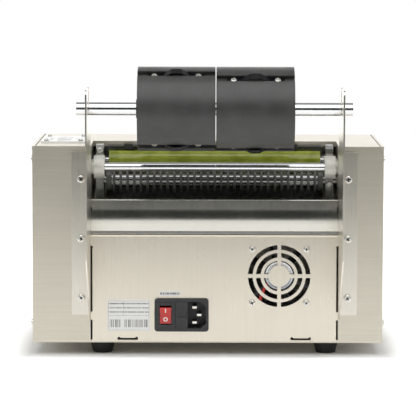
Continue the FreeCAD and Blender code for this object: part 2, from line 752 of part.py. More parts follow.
def inlet_body():
    """Flange and moulded back, with wells for the rocker, the fuse drawer and the plug."""
    body = new_body()
    x, z = mm.inlet_across, mm.inlet_up
    wide, high = mm.inlet_width / 2, mm.inlet_height / 2
    flange = rectangle(sketch(body, "XZ"), (x - wide, x + wide), (z - high, z + high))
    pad(body, flange, mm.inlet_flange)
    corners = [(u, 0, v) for u in (x - wide, x + wide) for v in (z - high, z + high)]
    round_corners(body, Y, corners, mm.inlet_corner)
    wide, high = mm.cut_width / 2 - mm.inlet_fit, mm.cut_height / 2 - mm.inlet_fit
    back = rectangle(sketch(body, "XZ"), (x - wide, x + wide), (z - high, z + high))
    pad(body, back, mm.inlet_depth, flip=True)
    switch = x + mm.switch_shift
    bezel = sketch(body, "XZ", -mm.inlet_flange)
    rectangle(bezel, (switch - mm.switch_width / 2, switch + mm.switch_width / 2),
              (z - mm.switch_height / 2, z + mm.switch_height / 2))
    pad(body, bezel, mm.switch_bezel)
    fit = mm.inlet_fit
    wells = (
        (switch, mm.rocker_width / 2 + fit, mm.rocker_swing + fit / 2, mm.rocker_depth + fit),
        (x + mm.drawer_shift, mm.drawer_width / 2 + fit / 2, mm.drawer_height / 2 + fit / 2,
         mm.drawer_depth + fit),
    )
    top = mm.inlet_flange + mm.switch_bezel
    for middle, half_x, half_z, deep in wells:
        well = rectangle(sketch(body, "XZ", -top), (middle - half_x, middle + half_x),
                         (z - half_z, z + half_z))
        pocket(body, well, deep + top)
    socket = x + mm.socket_shift
    half_x, half_z, slope = mm.socket_width / 2, mm.socket_height / 2, mm.socket_chamfer
    hollow = polygon(sketch(body, "XZ", -mm.inlet_flange), [
        (socket - half_x, z - half_z), (socket + half_x - slope, z - half_z),
        (socket + half_x, z - half_z + slope), (socket + half_x, z + half_z - slope),
        (socket + half_x - slope, z + half_z), (socket - half_x, z + half_z),
    ])
    pocket(body, hollow, mm.socket_depth)
    reach = mm.rocker_width / 2 + mm.rocker_pin_out + fit
    seat = across(mm.rocker_pin + mm.run_fit, (switch - reach, switch + reach),
                  mm.rocker_pivot, z)
    finish("inlet_body", cut(body, seat))


def inlet_pins():
    socket = mm.inlet_across + mm.socket_shift
    floor = mm.socket_depth - mm.inlet_flange
    spots = (
        (mm.pin_line, mm.pin_pitch / 2), (mm.pin_line, -mm.pin_pitch / 2), (mm.pin_earth, 0),
    )
    pins = [
        block((socket + u - mm.pin_wide / 2, socket + u + mm.pin_wide / 2),
              (floor - mm.pin_length, floor),
              (mm.inlet_up + v - mm.pin_thick / 2, mm.inlet_up + v + mm.pin_thick / 2))
        for u, v in spots
    ]
    finish("inlet_pins", group(*pins))


def rocker_switch():
    """A rocker cut from a cylinder about its pin, dished in front, with its lower end in."""
    half = mm.rocker_width / 2
    swing, reach = mm.rocker_swing, mm.rocker_reach
    drum = across(swing, (-half, half), 0, 0)
    body = new_body()
    corner = -square_root(swing * swing - reach * reach)
    profile = polygon(sketch(body, "YZ"), [
        (corner, reach), (corner + mm.rocker_dish, 0), (corner, -reach),
        (mm.rocker_heart, -reach), (mm.rocker_heart, reach),
    ])
    pad(body, profile, mm.rocker_width)
    put(body, -half)
    both = doc.addObject("Part::Common", "Common")
    both.Base = drum
    both.Tool = body
    pin = across(mm.rocker_pin, (-half - mm.rocker_pin_out, half + mm.rocker_pin_out), 0, 0)
    tilt = FreeCAD.Rotation(X, mm.rocker_tilt.number)
    finish("rocker_switch", fuse(both, pin), mm.inlet_across + mm.switch_shift, mm.rocker_pivot,
           mm.inlet_up, tilt)


def fuse_drawer():
    x = mm.inlet_across + mm.drawer_shift
    half, tall = mm.drawer_width / 2, mm.drawer_height / 2
    fit = mm.inlet_fit
    face, floor, wall = -mm.inlet_flange - fit, mm.drawer_floor, mm.drawer_wall
    box = block((x - half, x + half), (face, mm.drawer_depth),
                (mm.inlet_up - tall, mm.inlet_up + tall))
    trough = block((x - half + wall, x + half - wall), (2 * floor, mm.drawer_depth - floor),
                   (mm.inlet_up - tall + floor, mm.inlet_up + tall))
    pull = block((x - half, x + half), (face, face + mm.drawer_pull),
                 (mm.inlet_up - mm.pull_high / 2, mm.inlet_up + mm.pull_high / 2))
    finish("fuse_drawer", cut(box, trough, pull))


# Roll brackets, shaft and drums

def bracket(label, side):
    """A bent plate: a flange on the box's back, and a web with an open slot for the shaft."""
    body = new_body()
    web = polygon(sketch(body, "YZ"), [
        (0, mm.web_foot), (-mm.bracket_reach, mm.web_knee), (-mm.bracket_reach, mm.web_top),
        (0, mm.web_top),
    ])
    pad(body, web, mm.bracket_sheet)
    corners = [(0, y, mm.web_top) for y in (-mm.bracket_reach, 0)]
    round_corners(body, X, corners, mm.web_corner)
    near = 0 if side > 0 else mm.bracket_sheet
    flange = rectangle(sketch(body, "XZ"), (near, near + side * mm.bracket_flange),
                       (mm.flange_low, mm.flange_high))
    pad(body, flange, mm.bracket_sheet)
    half = mm.groove_radius + mm.slot_clear
    slot = sketch(body, "YZ", mm.bracket_sheet)
    polygon(slot, [
        (-mm.shaft_back - half, mm.shaft_up), (-mm.shaft_back + half, mm.shaft_up),
        (-mm.shaft_back + half, mm.web_top - mm.mouth_flare),
        (-mm.shaft_back + half + mm.mouth_flare, mm.web_top),
        (-mm.shaft_back - half - mm.mouth_flare, mm.web_top),
        (-mm.shaft_back - half, mm.web_top - mm.mouth_flare),
    ])
    pocket(body, slot, mm.bracket_sheet)
    seat = circle(sketch(body, "YZ", mm.bracket_sheet), -mm.shaft_back, mm.shaft_up, half)
    pocket(body, seat, mm.bracket_sheet)
    holes = sketch(body, "XZ", -mm.bracket_sheet)
    screw = side * (mm.bracket_screw - mm.web_half)
    if side < 0:
        screw = screw + mm.bracket_sheet
    for number in range(3):
        circle(holes, screw, mm.screw_low + number * mm.screw_pitch,
               mm.big_shank + mm.screw_clear)
    pocket(body, holes, mm.bracket_sheet)
    start = side_x(side, mm.web_half) if side > 0 else side_x(side, mm.web_half) - mm.bracket_sheet
    finish(label, body, x=start)


def roll_shaft():
    """A polished shaft whose two grooves drop into the bracket slots."""
    body = new_body()
    pad(body, circle(sketch(body, "XY"), 0, 0, mm.shaft_radius), 2 * mm.shaft_half)
    doc.recompute()
    dress(body, "Chamfer", ["Edge1", "Edge3"], mm.shaft_chamfer)
    width = mm.bracket_sheet + mm.groove_slack
    middle = mm.web_half + mm.bracket_sheet / 2
    for side in (-1, 1):
        ring = sketch(body, "XY", mm.shaft_half + side * middle - width / 2)
        circle(ring, 0, 0, mm.shaft_radius + 1)
        circle(ring, 0, 0, mm.groove_radius)
        pocket(body, ring, width, flip=True)
    finish("roll_shaft", body, side_x(-1, mm.shaft_half), -mm.shaft_back, mm.shaft_up, TO_RIGHT)


def drum_start(side):
    """The X of a drum's left face."""
    middle = side_x(1, mm.drum_shift)
    return middle + mm.drum_gap / 2 if side > 0 else middle - mm.drum_gap / 2 - mm.drum_length


def drum_turn(side):
    """Lays a drum along X with its first keyway at its own angle above the rear."""
    angle = mm.leaf_angle_right if side > 0 else mm.leaf_angle_left
    return TO_RIGHT.multiply(FreeCAD.Rotation(Z, -90 - angle.number))


def sleeve(label, side):
    """The bush that slides on the shaft; the left one has a rim outside its drum."""
    x = (drum_start(side), drum_start(side) + mm.drum_length)
    barrel = across(mm.sleeve_radius, x, -mm.shaft_back, mm.shaft_up)
    hollow = (x[0] - mm.sleeve_rim, x[1])
    if side < 0:
        rim = across(mm.sleeve_flange, (x[0] - mm.sleeve_rim, x[0]), -mm.shaft_back, mm.shaft_up)
        barrel = fuse(barrel, rim)
    bore = across(mm.shaft_radius + mm.run_fit, hollow, -mm.shaft_back, mm.shaft_up)
    finish(label, cut(barrel, bore))


def drum(label, side):
    """A turned core drum with three keyways for its leaf springs."""
    body = new_body()
    ring = sketch(body, "XY")
    circle(ring, 0, 0, mm.drum_radius)
    circle(ring, 0, 0, mm.sleeve_radius + mm.run_fit)
    pad(body, ring, mm.drum_length)
    round_rims(body, mm.drum_edge, mm.drum_radius - 1)
    keyway = rectangle(sketch(body, "XY", mm.drum_length),
                       (mm.drum_radius - mm.keyway_deep, mm.drum_radius + 1),
                       (-mm.keyway / 2, mm.keyway / 2))
    cutter = pocket(body, keyway, mm.drum_length)
    polar(body, cutter, 3)
    holes = sketch(body, "YZ", mm.drum_radius)
    for v in (-mm.leaf_screw, mm.leaf_screw):
        circle(holes, 0, mm.drum_length / 2 + v, mm.small_shank)
    drill = pocket(body, holes, mm.keyway_deep + mm.small_length)
    polar(body, drill, 3)
    finish(label, body, drum_start(side), -mm.shaft_back, mm.shaft_up, drum_turn(side))


def drum_springs(label, side):
    """Three arched leaves, screwed down at both ends, that grip the roll's core."""
    body = new_body()
    seat = mm.drum_radius - mm.keyway_deep
    crown = mm.drum_radius + mm.leaf_proud
    middle = mm.drum_length / 2
    thick = mm.leaf_thick
    upper = [
        (seat + thick, middle - mm.leaf_half), (seat + thick, middle - mm.leaf_foot),
        (crown, middle - mm.leaf_crown), (crown, middle + mm.leaf_crown),
        (seat + thick, middle + mm.leaf_foot), (seat + thick, middle + mm.leaf_half),
    ]
    lower = [(u - thick, v) for u, v in upper[::-1]]
    profile = polygon(sketch(body, "XZ", -mm.leaf_width / 2), upper + lower)
    pad(body, profile, mm.leaf_width, flip=True)
    bends = [(u, 0, v) for u, v in upper[1:5] + lower[1:5]]
    round_corners(body, Y, bends, mm.leaf_bend)
    holes = sketch(body, "YZ", seat + thick + 1)
    for v in (-mm.leaf_screw, mm.leaf_screw):
        circle(holes, 0, middle + v, mm.small_shank + mm.screw_clear)
    pocket(body, holes, thick + 2)
    leaf = body
    leaves = [copy(leaf, 0, 0, 0, FreeCAD.Rotation(Z, 120 * number)) for number in range(3)]
    finish(label, group(*leaves), drum_start(side), -mm.shaft_back, mm.shaft_up, drum_turn(side))


def drum_screws(label, side, screw):
    seat = mm.drum_radius - mm.keyway_deep + mm.leaf_thick
    screws = []
    for number in range(3):
        turn = FreeCAD.Rotation(Z, 120 * number)
        spot = turn.multVec(X)
        for v in (-1, 1):
            facing = turn.multiply(TO_RIGHT).multiply(FreeCAD.Rotation(Z, 40 * v + 25 * number))
            screws.append(copy(screw, seat * spot.x, seat * spot.y,
                               mm.drum_length / 2 + v * mm.leaf_screw, facing))
    finish(label, group(*screws), drum_start(side), -mm.shaft_back, mm.shaft_up, drum_turn(side))


def guide_rod():
    reach = mm.hub_near + mm.rod_seat
    ends = side_span(1, -reach, reach)
    finish("guide_rod", group(across(mm.rod_radius, ends, mm.rod_ahead, mm.rod_up)))


def rod_hubs():
    """Two blind hubs on spigots that stand off the box walls and carry the guide rod."""
    hubs = []
    for side in (-1, 1):
        hub = across(mm.hub_radius, side_span(side, mm.hub_near, mm.hub_far), mm.rod_ahead, mm.rod_up)
        spigot = across(mm.hub_spigot, side_span(side, mm.hub_far, mm.bay_half), mm.rod_ahead,
                        mm.rod_up)
        seat = across(mm.rod_radius + mm.run_fit,
                      side_span(side, mm.hub_near, mm.hub_near + mm.rod_seat + mm.deck_gap),
                      mm.rod_ahead, mm.rod_up)
        hubs.append(cut(fuse(hub, spigot), seat))
    finish("rod_hubs", group(*hubs))


# Frame plates and rollers

def frame_plate(label, side):
    """A thick plate standing on the deck, bored for both roller axles."""
    body = new_body()
    outline = sketch(body, "YZ")
    step = mm.bay_depth - mm.step_gap
    under = mm.case_top - mm.strip_flange - mm.step_gap
    polygon(outline, [
        (mm.plate_back, mm.deck_up), (mm.plate_front, mm.deck_up), (mm.plate_front, under),
        (step, under), (step, mm.plate_top), (mm.plate_back, mm.plate_top),
    ])
    circle(outline, mm.feed_ahead, mm.feed_up, mm.axle_radius + mm.run_fit)
    circle(outline, PINCH_Y, PINCH_Z, mm.pinch_axle + mm.run_fit)
    pad(body, outline, mm.plate_thick)
    round_corners(body, X, [(0, mm.plate_back, mm.plate_top)], mm.plate_corner, "Chamfer")
    spot = mm.plate_screw_right if side > 0 else mm.plate_screw_left
    drill = circle(sketch(body, "XZ", mm.plate_back), mm.plate_thick / 2, spot, mm.small_shank)
    pocket(body, drill, mm.small_length)
    finish(label, body, x=side_span(side, mm.plate_near, mm.plate_near + mm.plate_thick)[0])


def feed_axle():
    ends = (side_x(-1, mm.plate_near + mm.plate_thick),
            side_x(1, mm.gear_near + mm.gear_width + mm.axle_past))
    finish("feed_axle", group(across(mm.axle_radius, ends, mm.feed_ahead, mm.feed_up)))


def disc_reach():
    """From the middle to the outer face of the last disc."""
    return (mm.disc_count - 1) / 2 * mm.disc_pitch + mm.disc_thick / 2


def feed_discs():
    """The ribs of the feed roller, with a wider collar past each end."""
    body = new_body()
    collar = disc_reach() + mm.collar_gap
    for start in (-collar - mm.collar_thick, collar):
        ring = sketch(body, "YZ", start)
        circle(ring, 0, 0, mm.collar_radius)
        circle(ring, 0, 0, mm.axle_radius)
        pad(body, ring, mm.collar_thick)
    ring = sketch(body, "YZ", -disc_reach())
    circle(ring, 0, 0, mm.disc_radius)
    circle(ring, 0, 0, mm.axle_radius)
    disc = pad(body, ring, mm.disc_thick)
    row_along(body, disc, mm.disc_count)
    finish("feed_discs", body, side_x(1, 0), mm.feed_ahead, mm.feed_up)


def row_along(body, feature, count):
    """Repeats a feature along X, one disc pitch apart."""
    item = body.newObject("PartDesign::LinearPattern", "Row")
    item.Originals = [feature]
    item.Direction = (datum(body, "X_Axis"), [""])
    item.Mode = "Spacing"
    bind(item, "Offset", mm.disc_pitch)
    bind(item, "Occurrences", count)
    body.Tip = item


def feed_spacers():
    """Polished rings between the discs, and one short ring inside each collar."""
    body = new_body()
    for start in (-disc_reach() - mm.collar_gap, disc_reach()):
        ring = sketch(body, "YZ", start)
        circle(ring, 0, 0, mm.spacer_radius)
        circle(ring, 0, 0, mm.axle_radius)
        pad(body, ring, mm.collar_gap)
    ring = sketch(body, "YZ", -disc_reach() + mm.disc_thick)
    circle(ring, 0, 0, mm.spacer_radius)
    circle(ring, 0, 0, mm.axle_radius)
    spacer = pad(body, ring, mm.disc_pitch - mm.disc_thick)
    row_along(body, spacer, mm.disc_count - 1)
    finish("feed_spacers", body, side_x(1, 0), mm.feed_ahead, mm.feed_up)


def pinch_roller():
    ends = side_span(1, -mm.pinch_half, mm.pinch_half)
    skin = across(mm.pinch_radius, ends, PINCH_Y, PINCH_Z)
    finish("pinch_sleeve", cut(skin, across(mm.pinch_axle, ends, PINCH_Y, PINCH_Z)))
    ends = (side_x(-1, mm.plate_near + mm.plate_thick),
            side_x(1, mm.gear_near + mm.gear_width + mm.axle_past))
    finish("pinch_axle", group(across(mm.pinch_axle, ends, PINCH_Y, PINCH_Z)))


# Gears: one tooth repeated about the body's own Z axis, which then lies along X

def gear_angle(dy, dz):
    """The angle about a gear's own axis of a direction from its middle."""
    return math.degrees(math.atan2(dy, -dz))


def gear(label, teeth, bore, y, z, phase, stub=None):
    body = new_body()
    module = mm.gear_module
    pitch = teeth * module / 2
    root = pitch - mm.dedendum * module
    tip = pitch + mm.addendum * module
    half = module * mm.tooth_share * math.pi / 2
    disc = sketch(body, "XY")
    circle(disc, 0, 0, root)
    if bore:
        circle(disc, 0, 0, bore)
    pad(body, disc, mm.gear_width)
    foot = half + mm.dedendum * module * mm.tooth_lean
    crest = half - mm.addendum * module * mm.tooth_lean
    outline = polygon(sketch(body, "XY"), [
        (root - mm.tooth_lean, -foot), (tip, -crest), (tip, crest), (root - mm.tooth_lean, foot),
    ])
    tooth = pad(body, outline, mm.gear_width)
    polar(body, tooth, teeth)
    if stub:
        shaft = circle(sketch(body, "XY", mm.gear_width), 0, 0, mm.motor_shaft)
        pad(body, shaft, stub)
    turn = TO_RIGHT.multiply(FreeCAD.Rotation(Z, phase))
    finish(label, body, side_x(1, mm.gear_near), y, z, turn)


def gears():
    """The feed gear shows a tooth to the pinch gear's gap; the pinion's tooth fills its gap."""
    meeting = gear_angle(mm.pinch_ahead.number, (PINCH_Z - mm.feed_up).number)
    ratio = mm.feed_teeth.number / mm.motor_teeth.number
    gear("feed_gear", mm.feed_teeth, mm.axle_radius, mm.feed_ahead, mm.feed_up, meeting)
    gear("pinch_gear", mm.pinch_teeth, mm.pinch_axle, PINCH_Y, PINCH_Z,
         meeting + 180 + 180 / mm.pinch_teeth.number)
    gear("motor_pinion", mm.motor_teeth, None, mm.feed_ahead, MOTOR_Z,
         180 - meeting * ratio + 180 / mm.motor_teeth.number, mm.motor_gap + mm.motor_boss_rise)


def feed_motor():
    """A flat stepping motor on four pillars off the box wall."""
    start = side_x(1, mm.gear_near + mm.gear_width + mm.motor_gap)
    half, pillar = mm.motor_square / 2, mm.pillar_pitch / 2
    y, z = mm.feed_ahead, MOTOR_Z
    case = block((start, start + mm.motor_depth), (y - half, y + half), (z - half, z + half))
    wall = side_x(1, mm.bay_half + mm.sheet)
    pillars = [
        across(mm.pillar_radius, (wall, start), y + u * pillar, z + v * pillar)
        for u in (-1, 1) for v in (-1, 1)
    ]
    boss = across(mm.motor_boss, (start - mm.motor_boss_rise / 2, start), y, z)
    bore = across(mm.motor_shaft + mm.run_fit,
                  (start - mm.motor_boss_rise, start + 2 * mm.motor_boss_rise), y, z)
    finish("feed_motor", cut(fuse(case, boss, *pillars), bore))


# Sheet guides

def guide_bar():
    """A bent wire over the pinch roller, its legs clipped against the frame plates."""
    body = new_body()
    half = mm.plate_near - mm.wire_radius
    low, high = mm.wire_up - mm.wire_leg, mm.wire_up
    bend = mm.wire_bend
    path = sketch(body, "XZ")
    left, right = (-half).number, half.number
    bottom, top, radius = low.number, high.number, bend.number
    point = FreeCAD.Vector
    path.addGeometry(Part.LineSegment(point(left, bottom, 0), point(left, top - radius, 0)))
    path.addGeometry(Part.LineSegment(point(left + radius, top, 0), point(right - radius, top, 0)))
    path.addGeometry(Part.LineSegment(point(right, top - radius, 0), point(right, bottom, 0)))
    for middle, start, end in ((left + radius, 90, 180), (right - radius, 0, 90)):
        ring = Part.Circle(point(middle, top - radius, 0), point(0, 0, 1), radius)
        path.addGeometry(Part.ArcOfCircle(ring, math.radians(start), math.radians(end)))
    for first, first_end, second, second_end in ((0, 2, 3, 2), (3, 1, 1, 1), (1, 2, 4, 2), (4, 1, 2, 1)):
        path.addConstraint(Sketcher.Constraint("Tangent", first, first_end, second, second_end))
    path.addConstraint(Sketcher.Constraint("Vertical", 0))
    path.addConstraint(Sketcher.Constraint("Horizontal", 1))
    path.addConstraint(Sketcher.Constraint("Vertical", 2))
    pin_down(path, "Radius", 3, bend)
    pin_down(path, "Radius", 4, bend)
    pin_down(path, "DistanceX", -1, 1, 0, 1, -half)
    pin_down(path, "DistanceY", -1, 1, 0, 1, low)
    pin_down(path, "DistanceX", -1, 1, 2, 2, half)
    pin_down(path, "DistanceY", -1, 1, 2, 2, low)
    pin_down(path, "DistanceY", -1, 1, 1, 1, high)
    ring = circle(sketch(body, "XY", low), -half, 0, mm.wire_radius)
    doc.recompute()
    pipe = body.newObject("PartDesign::AdditivePipe", "Pipe")
    pipe.Profile = ring
    pipe.Spine = (path, [])
    finish("guide_bar", body, side_x(1, 0), mm.wire_ahead)


def edge_guide(label, side):
    """A hook on the wire whose toe stands on the table beside the sheet."""
    middle = side_x(side, mm.guide_right if side > 0 else mm.guide_left)
    x = (middle - mm.guide_width / 2, middle + mm.guide_width / 2)
    floor = mm.wire_up - mm.guide_eye / 2
    eye = block(x, (mm.guide_back, mm.guide_back + mm.guide_eye), (floor, floor + mm.guide_eye))
    arm = block(x, (mm.guide_back, mm.guide_front), (floor, floor + mm.guide_arm))
    toe = block(x, (mm.guide_front - mm.guide_toe, mm.guide_front),
                (mm.table_up + mm.guide_clear, floor + mm.guide_arm))
    bore = across(mm.wire_radius + mm.run_fit, x, mm.wire_ahead, mm.wire_up)
    finish(label, cut(fuse(eye, arm, toe), bore))


def feed_table():
    """The plate that carries the sheet from the rollers to the fixed blade."""
    x = side_span(1, -mm.plate_near, mm.plate_near)
    wall = mm.sheet
    top = block(x, (mm.table_back, mm.plate_front), (mm.table_up - wall, mm.table_up))
    legs = [
        block(ends, (mm.table_back, mm.plate_front), (mm.deck_up, mm.table_up))
        for ends in ((x[0], x[0] + wall), (x[1] - wall, x[1]))
    ]
    finish("feed_table", fuse(top, *legs))


# Guillotine

def blade_ahead():
    """The rear face of the moving blade."""
    return mm.plate_front + mm.fixed_thick + mm.blade_gap


def post_ahead():
    return blade_ahead() + mm.moving_thick + mm.carriage_deep / 2


def fixed_blade():
    reach = mm.plate_near + mm.plate_thick
    finish("fixed_blade", group(block(side_span(1, -reach, reach),
                                      (mm.plate_front, mm.plate_front + mm.fixed_thick),
                                      (mm.deck_up, mm.table_up))))


def blade_posts():
    posts = [
        upright(mm.post_radius, side_x(side, mm.post_out), post_ahead(), (mm.deck_up, mm.post_top))
        for side in (-1, 1)
    ]
    finish("blade_posts", group(*posts))


def blade_carriage():
    """The bar that rides on the two posts, with an arm through the left box wall."""
    reach = mm.bay_half - mm.carriage_end
    x = side_span(1, -reach, reach)
    start = blade_ahead() + mm.moving_thick
    bar = block(x, (start, start + mm.carriage_deep), (mm.carriage_low, mm.carriage_high))
    arm = block((x[0] - mm.arm_reach, x[0]),
                (post_ahead() - mm.arm_deep / 2, post_ahead() + mm.arm_deep / 2),
                (mm.arm_low, mm.arm_high))
    bores = [
        upright(mm.post_radius + mm.run_fit, side_x(side, mm.post_out), post_ahead(),
                (mm.carriage_low, mm.carriage_high))
        for side in (-1, 1)
    ]
    finish("blade_carriage", cut(fuse(bar, arm), *bores))


def moving_blade():
    """A blade whose edge slopes from one end to the other, so that it shears."""
    body = new_body()
    half = mm.slot_half
    profile = polygon(sketch(body, "XZ"), [
        (-half, mm.moving_edge), (half, mm.moving_edge + mm.moving_lean),
        (half, mm.carriage_high), (-half, mm.carriage_high),
    ])
    pad(body, profile, mm.moving_thick, flip=True)
    finish("moving_blade", body, side_x(1, 0), blade_ahead())


def coil_x():
    return side_x(-1, mm.bay_half + mm.sheet) - mm.coil_square / 2


def solenoid():
    half = mm.coil_square / 2
    x, y = coil_x(), post_ahead()
    case = block((x - half, x + half), (y - half, y + half), (mm.coil_low, mm.coil_high))
    bore = upright(mm.plunger_radius + mm.run_fit, x, y,
                   (mm.plunger_low - mm.stroke - 2, mm.coil_high))
    finish("solenoid", cut(case, bore))


def solenoid_plunger():
    plunger = upright(mm.plunger_radius, coil_x(), post_ahead(), (mm.plunger_low, mm.arm_low))
    finish("solenoid_plunger", group(plunger))


# Electrics

def power_supply():
    """A vented metal box on the floor of the case."""
    x = (mm.supply_left, mm.supply_left + mm.supply_width)
    y = (mm.supply_back, mm.supply_back + mm.supply_deep)
    case = block(x, y, (FLOOR, FLOOR + mm.supply_high))
    top = FLOOR + mm.supply_high
    vents = []
    for number in range(int(mm.vent_count.number)):
        left = x[0] + mm.vent_inset + number * mm.vent_pitch
        vents.append(block((left, left + mm.vent_wide),
                           (y[0] + mm.vent_inset, y[1] - mm.vent_inset), (top - mm.vent_deep, top)))
    finish("power_supply", cut(case, *vents))


def control_board():
    """A board on four posts against the left box's bay wall."""
    wall = side_x(-1, mm.bay_half + mm.sheet)
    face = wall - mm.board_stand
    y = (mm.board_back, mm.board_back + mm.board_deep)
    z = (mm.board_low, mm.board_low + mm.board_high)
    board = block((face - mm.board_thick, face), y, z)
    inset = 2 * mm.board_post
    posts = [
        across(mm.board_post, (face, wall), v, w)
        for v in (y[0] + inset, y[1] - inset) for w in (z[0] + inset, z[1] - inset)
    ]
    chips = [
        block((face - mm.board_thick - mm.chip_high, face - mm.board_thick),
              (y[0] + u, y[0] + u + mm.chip_side), (z[0] + v, z[0] + v + mm.chip_side))
        for u, v in CHIP_SPOTS
    ]
    finish("control_board", fuse(board, *posts, *chips))


def key_screw_spots():
    for u in (-1, 1):
        for v in (-1, 1):
            yield mm.keys_across + u * mm.keys_screw_x / 2, mm.keys_ahead + v * mm.keys_screw_y / 2


def key_spots():
    """The middles of the feed key and the cut key."""
    y = mm.keys_ahead - mm.key_offset
    yield "feed_key", mm.keys_across, y - mm.key_spacing / 2
    yield "cut_key", mm.keys_across, y + mm.key_spacing / 2


def key_panel():
    """The raised plate on the left box, with two key holes and a sunk window."""
    z = (mm.case_top, mm.case_top + mm.keys_thick)
    half, deep = mm.keys_width / 2, mm.keys_deep / 2
    plate = block((mm.keys_across - half, mm.keys_across + half),
                  (mm.keys_ahead - deep, mm.keys_ahead + deep), z)
    cuts = [upright(mm.small_shank + mm.screw_clear, x, y, z) for x, y in key_screw_spots()]
    wide, tall = mm.key_width / 2 + mm.key_fit, mm.key_deep / 2 + mm.key_fit
    for _, x, y in key_spots():
        cuts.append(block((x - wide, x + wide), (y - tall, y + tall), z))
    pane = mm.well_width / 2
    front = mm.keys_ahead + mm.well_deep / 2
    cuts.append(block((mm.keys_across - pane, mm.keys_across + pane), (front - mm.window_deep, front),
                      (z[1] - mm.window_sink, z[1])))
    finish("key_panel", cut(plate, *cuts))


def keys():
    """Flanged key caps, held under the panel by their rims."""
    top = mm.case_top + mm.keys_thick + mm.key_proud
    under = mm.case_top
    for label, x, y in key_spots():
        wide, tall = mm.key_width / 2, mm.key_deep / 2
        cap = block((x - wide, x + wide), (y - tall, y + tall), (under - mm.key_high, top))
        rim = block((x - wide - mm.key_rim, x + wide + mm.key_rim),
                    (y - tall - mm.key_rim, y + tall + mm.key_rim),
                    (under - mm.key_rim - mm.key_fit, under - mm.key_fit))
        finish(label, fuse(cap, rim))


# Screws: one of each size is modelled, seated at its own origin, and copied to its places

def pan_screw(head, rise, shank, length):
    """A cross-recessed pan head above Z = 0 with a plain shank below."""
    body = new_body()
    pad(body, circle(sketch(body, "XY"), 0, 0, head), rise)
    doc.recompute()
    top = [
        "Edge%d" % number for number, edge in enumerate(body.Tip.Shape.Edges, 1)
        if edge.BoundBox.ZMin > rise.number - 1e-6
    ]
    dress(body, "Fillet", top, rise * mm.head_round)
    pad(body, circle(sketch(body, "XY"), 0, 0, shank), length, flip=True)
    long, thin = head * mm.cross_share, head * mm.cross_bar
    cross = polygon(sketch(body, "XY", rise), [
        (long, -thin), (long, thin), (thin, thin), (thin, long), (-thin, long), (-thin, thin),
        (-long, thin), (-long, -thin), (-thin, -thin), (-thin, -long), (thin, -long), (thin, -thin),
    ])
    pocket(body, cross, rise * mm.cross_deep)
    return body


def spun(turn, degrees):
    return turn.multiply(FreeCAD.Rotation(Z, degrees))


def big_screws(screw):
    """The bracket and foot screws."""
    copies = []
    for side in (-1, 1):
        for number in range(3):
            copies.append(copy(screw, side_x(side, mm.bracket_screw), -mm.bracket_sheet,
                               mm.screw_low + number * mm.screw_pitch,
                               spun(TO_BACK, 25 + 35 * number * side)))
        for y in (mm.foot_back, mm.foot_front):
            copies.append(copy(screw, side_x(side, mm.foot_out), y, mm.foot_recess_deep, TO_GROUND))
    finish("big_screws", group(*copies))


def small_screws(screw):
    """The side cover, frame plate and key panel screws."""
    copies = []
    for side, turn in ((-1, TO_LEFT), (1, TO_RIGHT)):
        for number, (y, z) in enumerate(cover_screw_spots()):
            copies.append(copy(screw, side * mm.case_width / 2, y, z, spun(turn, 30 * number)))
        middle = side_x(side, mm.plate_near + mm.plate_thick / 2)
        z = mm.plate_screw_right if side > 0 else mm.plate_screw_left
        copies.append(copy(screw, middle, mm.plate_back, z, spun(TO_BACK, 20)))
    for number, (x, y) in enumerate(key_screw_spots()):
        copies.append(copy(screw, x, y, mm.case_top + mm.keys_thick, spun(UPRIGHT, 20 * number)))
    finish("small_screws", group(*copies))


def fan_screws(screw):
    copies = [
        copy(screw, x, 0, z, spun(TO_BACK, 15 + 22 * number))
        for number, (x, z) in enumerate(fan_screw_spots())
    ]
    finish("fan_screws", group(*copies))


def build():
    base_plate()
    feet()
    housing("left_housing", -1)
    housing("right_housing", 1)
    side_cover("left_side_cover", -1)
    side_cover("right_side_cover", 1)
    top_cover()
    front_panel()
    exit_lip()
    chute()
    rear_panel()
    fan_frame()
    fan_rotor()
    fan_leads()
    inlet_body()
    inlet_pins()
    rocker_switch()
    fuse_drawer()
    small = pan_screw(mm.small_head, mm.small_rise, mm.small_shank, mm.small_length)
    for name, side in (("left", -1), ("right", 1)):
        bracket(name + "_bracket", side)
        sleeve(name + "_sleeve", side)
        drum(name + "_drum", side)
        drum_springs(name + "_drum_springs", side)
        drum_screws(name + "_drum_screws", side, small)
        frame_plate(name + "_frame_plate", side)
        edge_guide(name + "_edge_guide", side)
    roll_shaft()
    guide_rod()
    rod_hubs()
    feed_axle()
    feed_discs()
    feed_spacers()
    pinch_roller()
    gears()
    feed_motor()
    guide_bar()
    feed_table()
    fixed_blade()
    blade_posts()
    blade_carriage()
    moving_blade()
    solenoid()
    solenoid_plunger()
    power_supply()
    control_board()
    key_panel()
    keys()
    big_screws(pan_screw(mm.big_head, mm.big_rise, mm.big_shank, mm.big_length))
    small_screws(small)
    fan_screws(pan_screw(mm.fan_head, mm.fan_rise, mm.fan_shank, mm.fan_length))


def check():
    """Stops before anything is written if an object failed or a sub-part isn't a valid shape."""
    for item in doc.Objects:
        if {"Invalid", "Error"} & set(item.State):
            raise RuntimeError("%s (%s) failed: %s" % (item.Name, item.Label, item.State))
    for item in NODES:
        if item.Shape.isNull() or not item.Shape.isValid() or not item.Shape.Solids:
            raise RuntimeError("%s has no valid solid" % item.Label)


build()
doc.recompute()
check()
os.makedirs("parts", exist_ok=True)
for item in NODES:
    item.Shape.exportStep("parts/%s.step" % item.Label)
    print("%-20s %3d solids %10.1f mm3" % (item.Label, len(item.Shape.Solids), item.Shape.Volume))
print(len(NODES), "sub-parts")
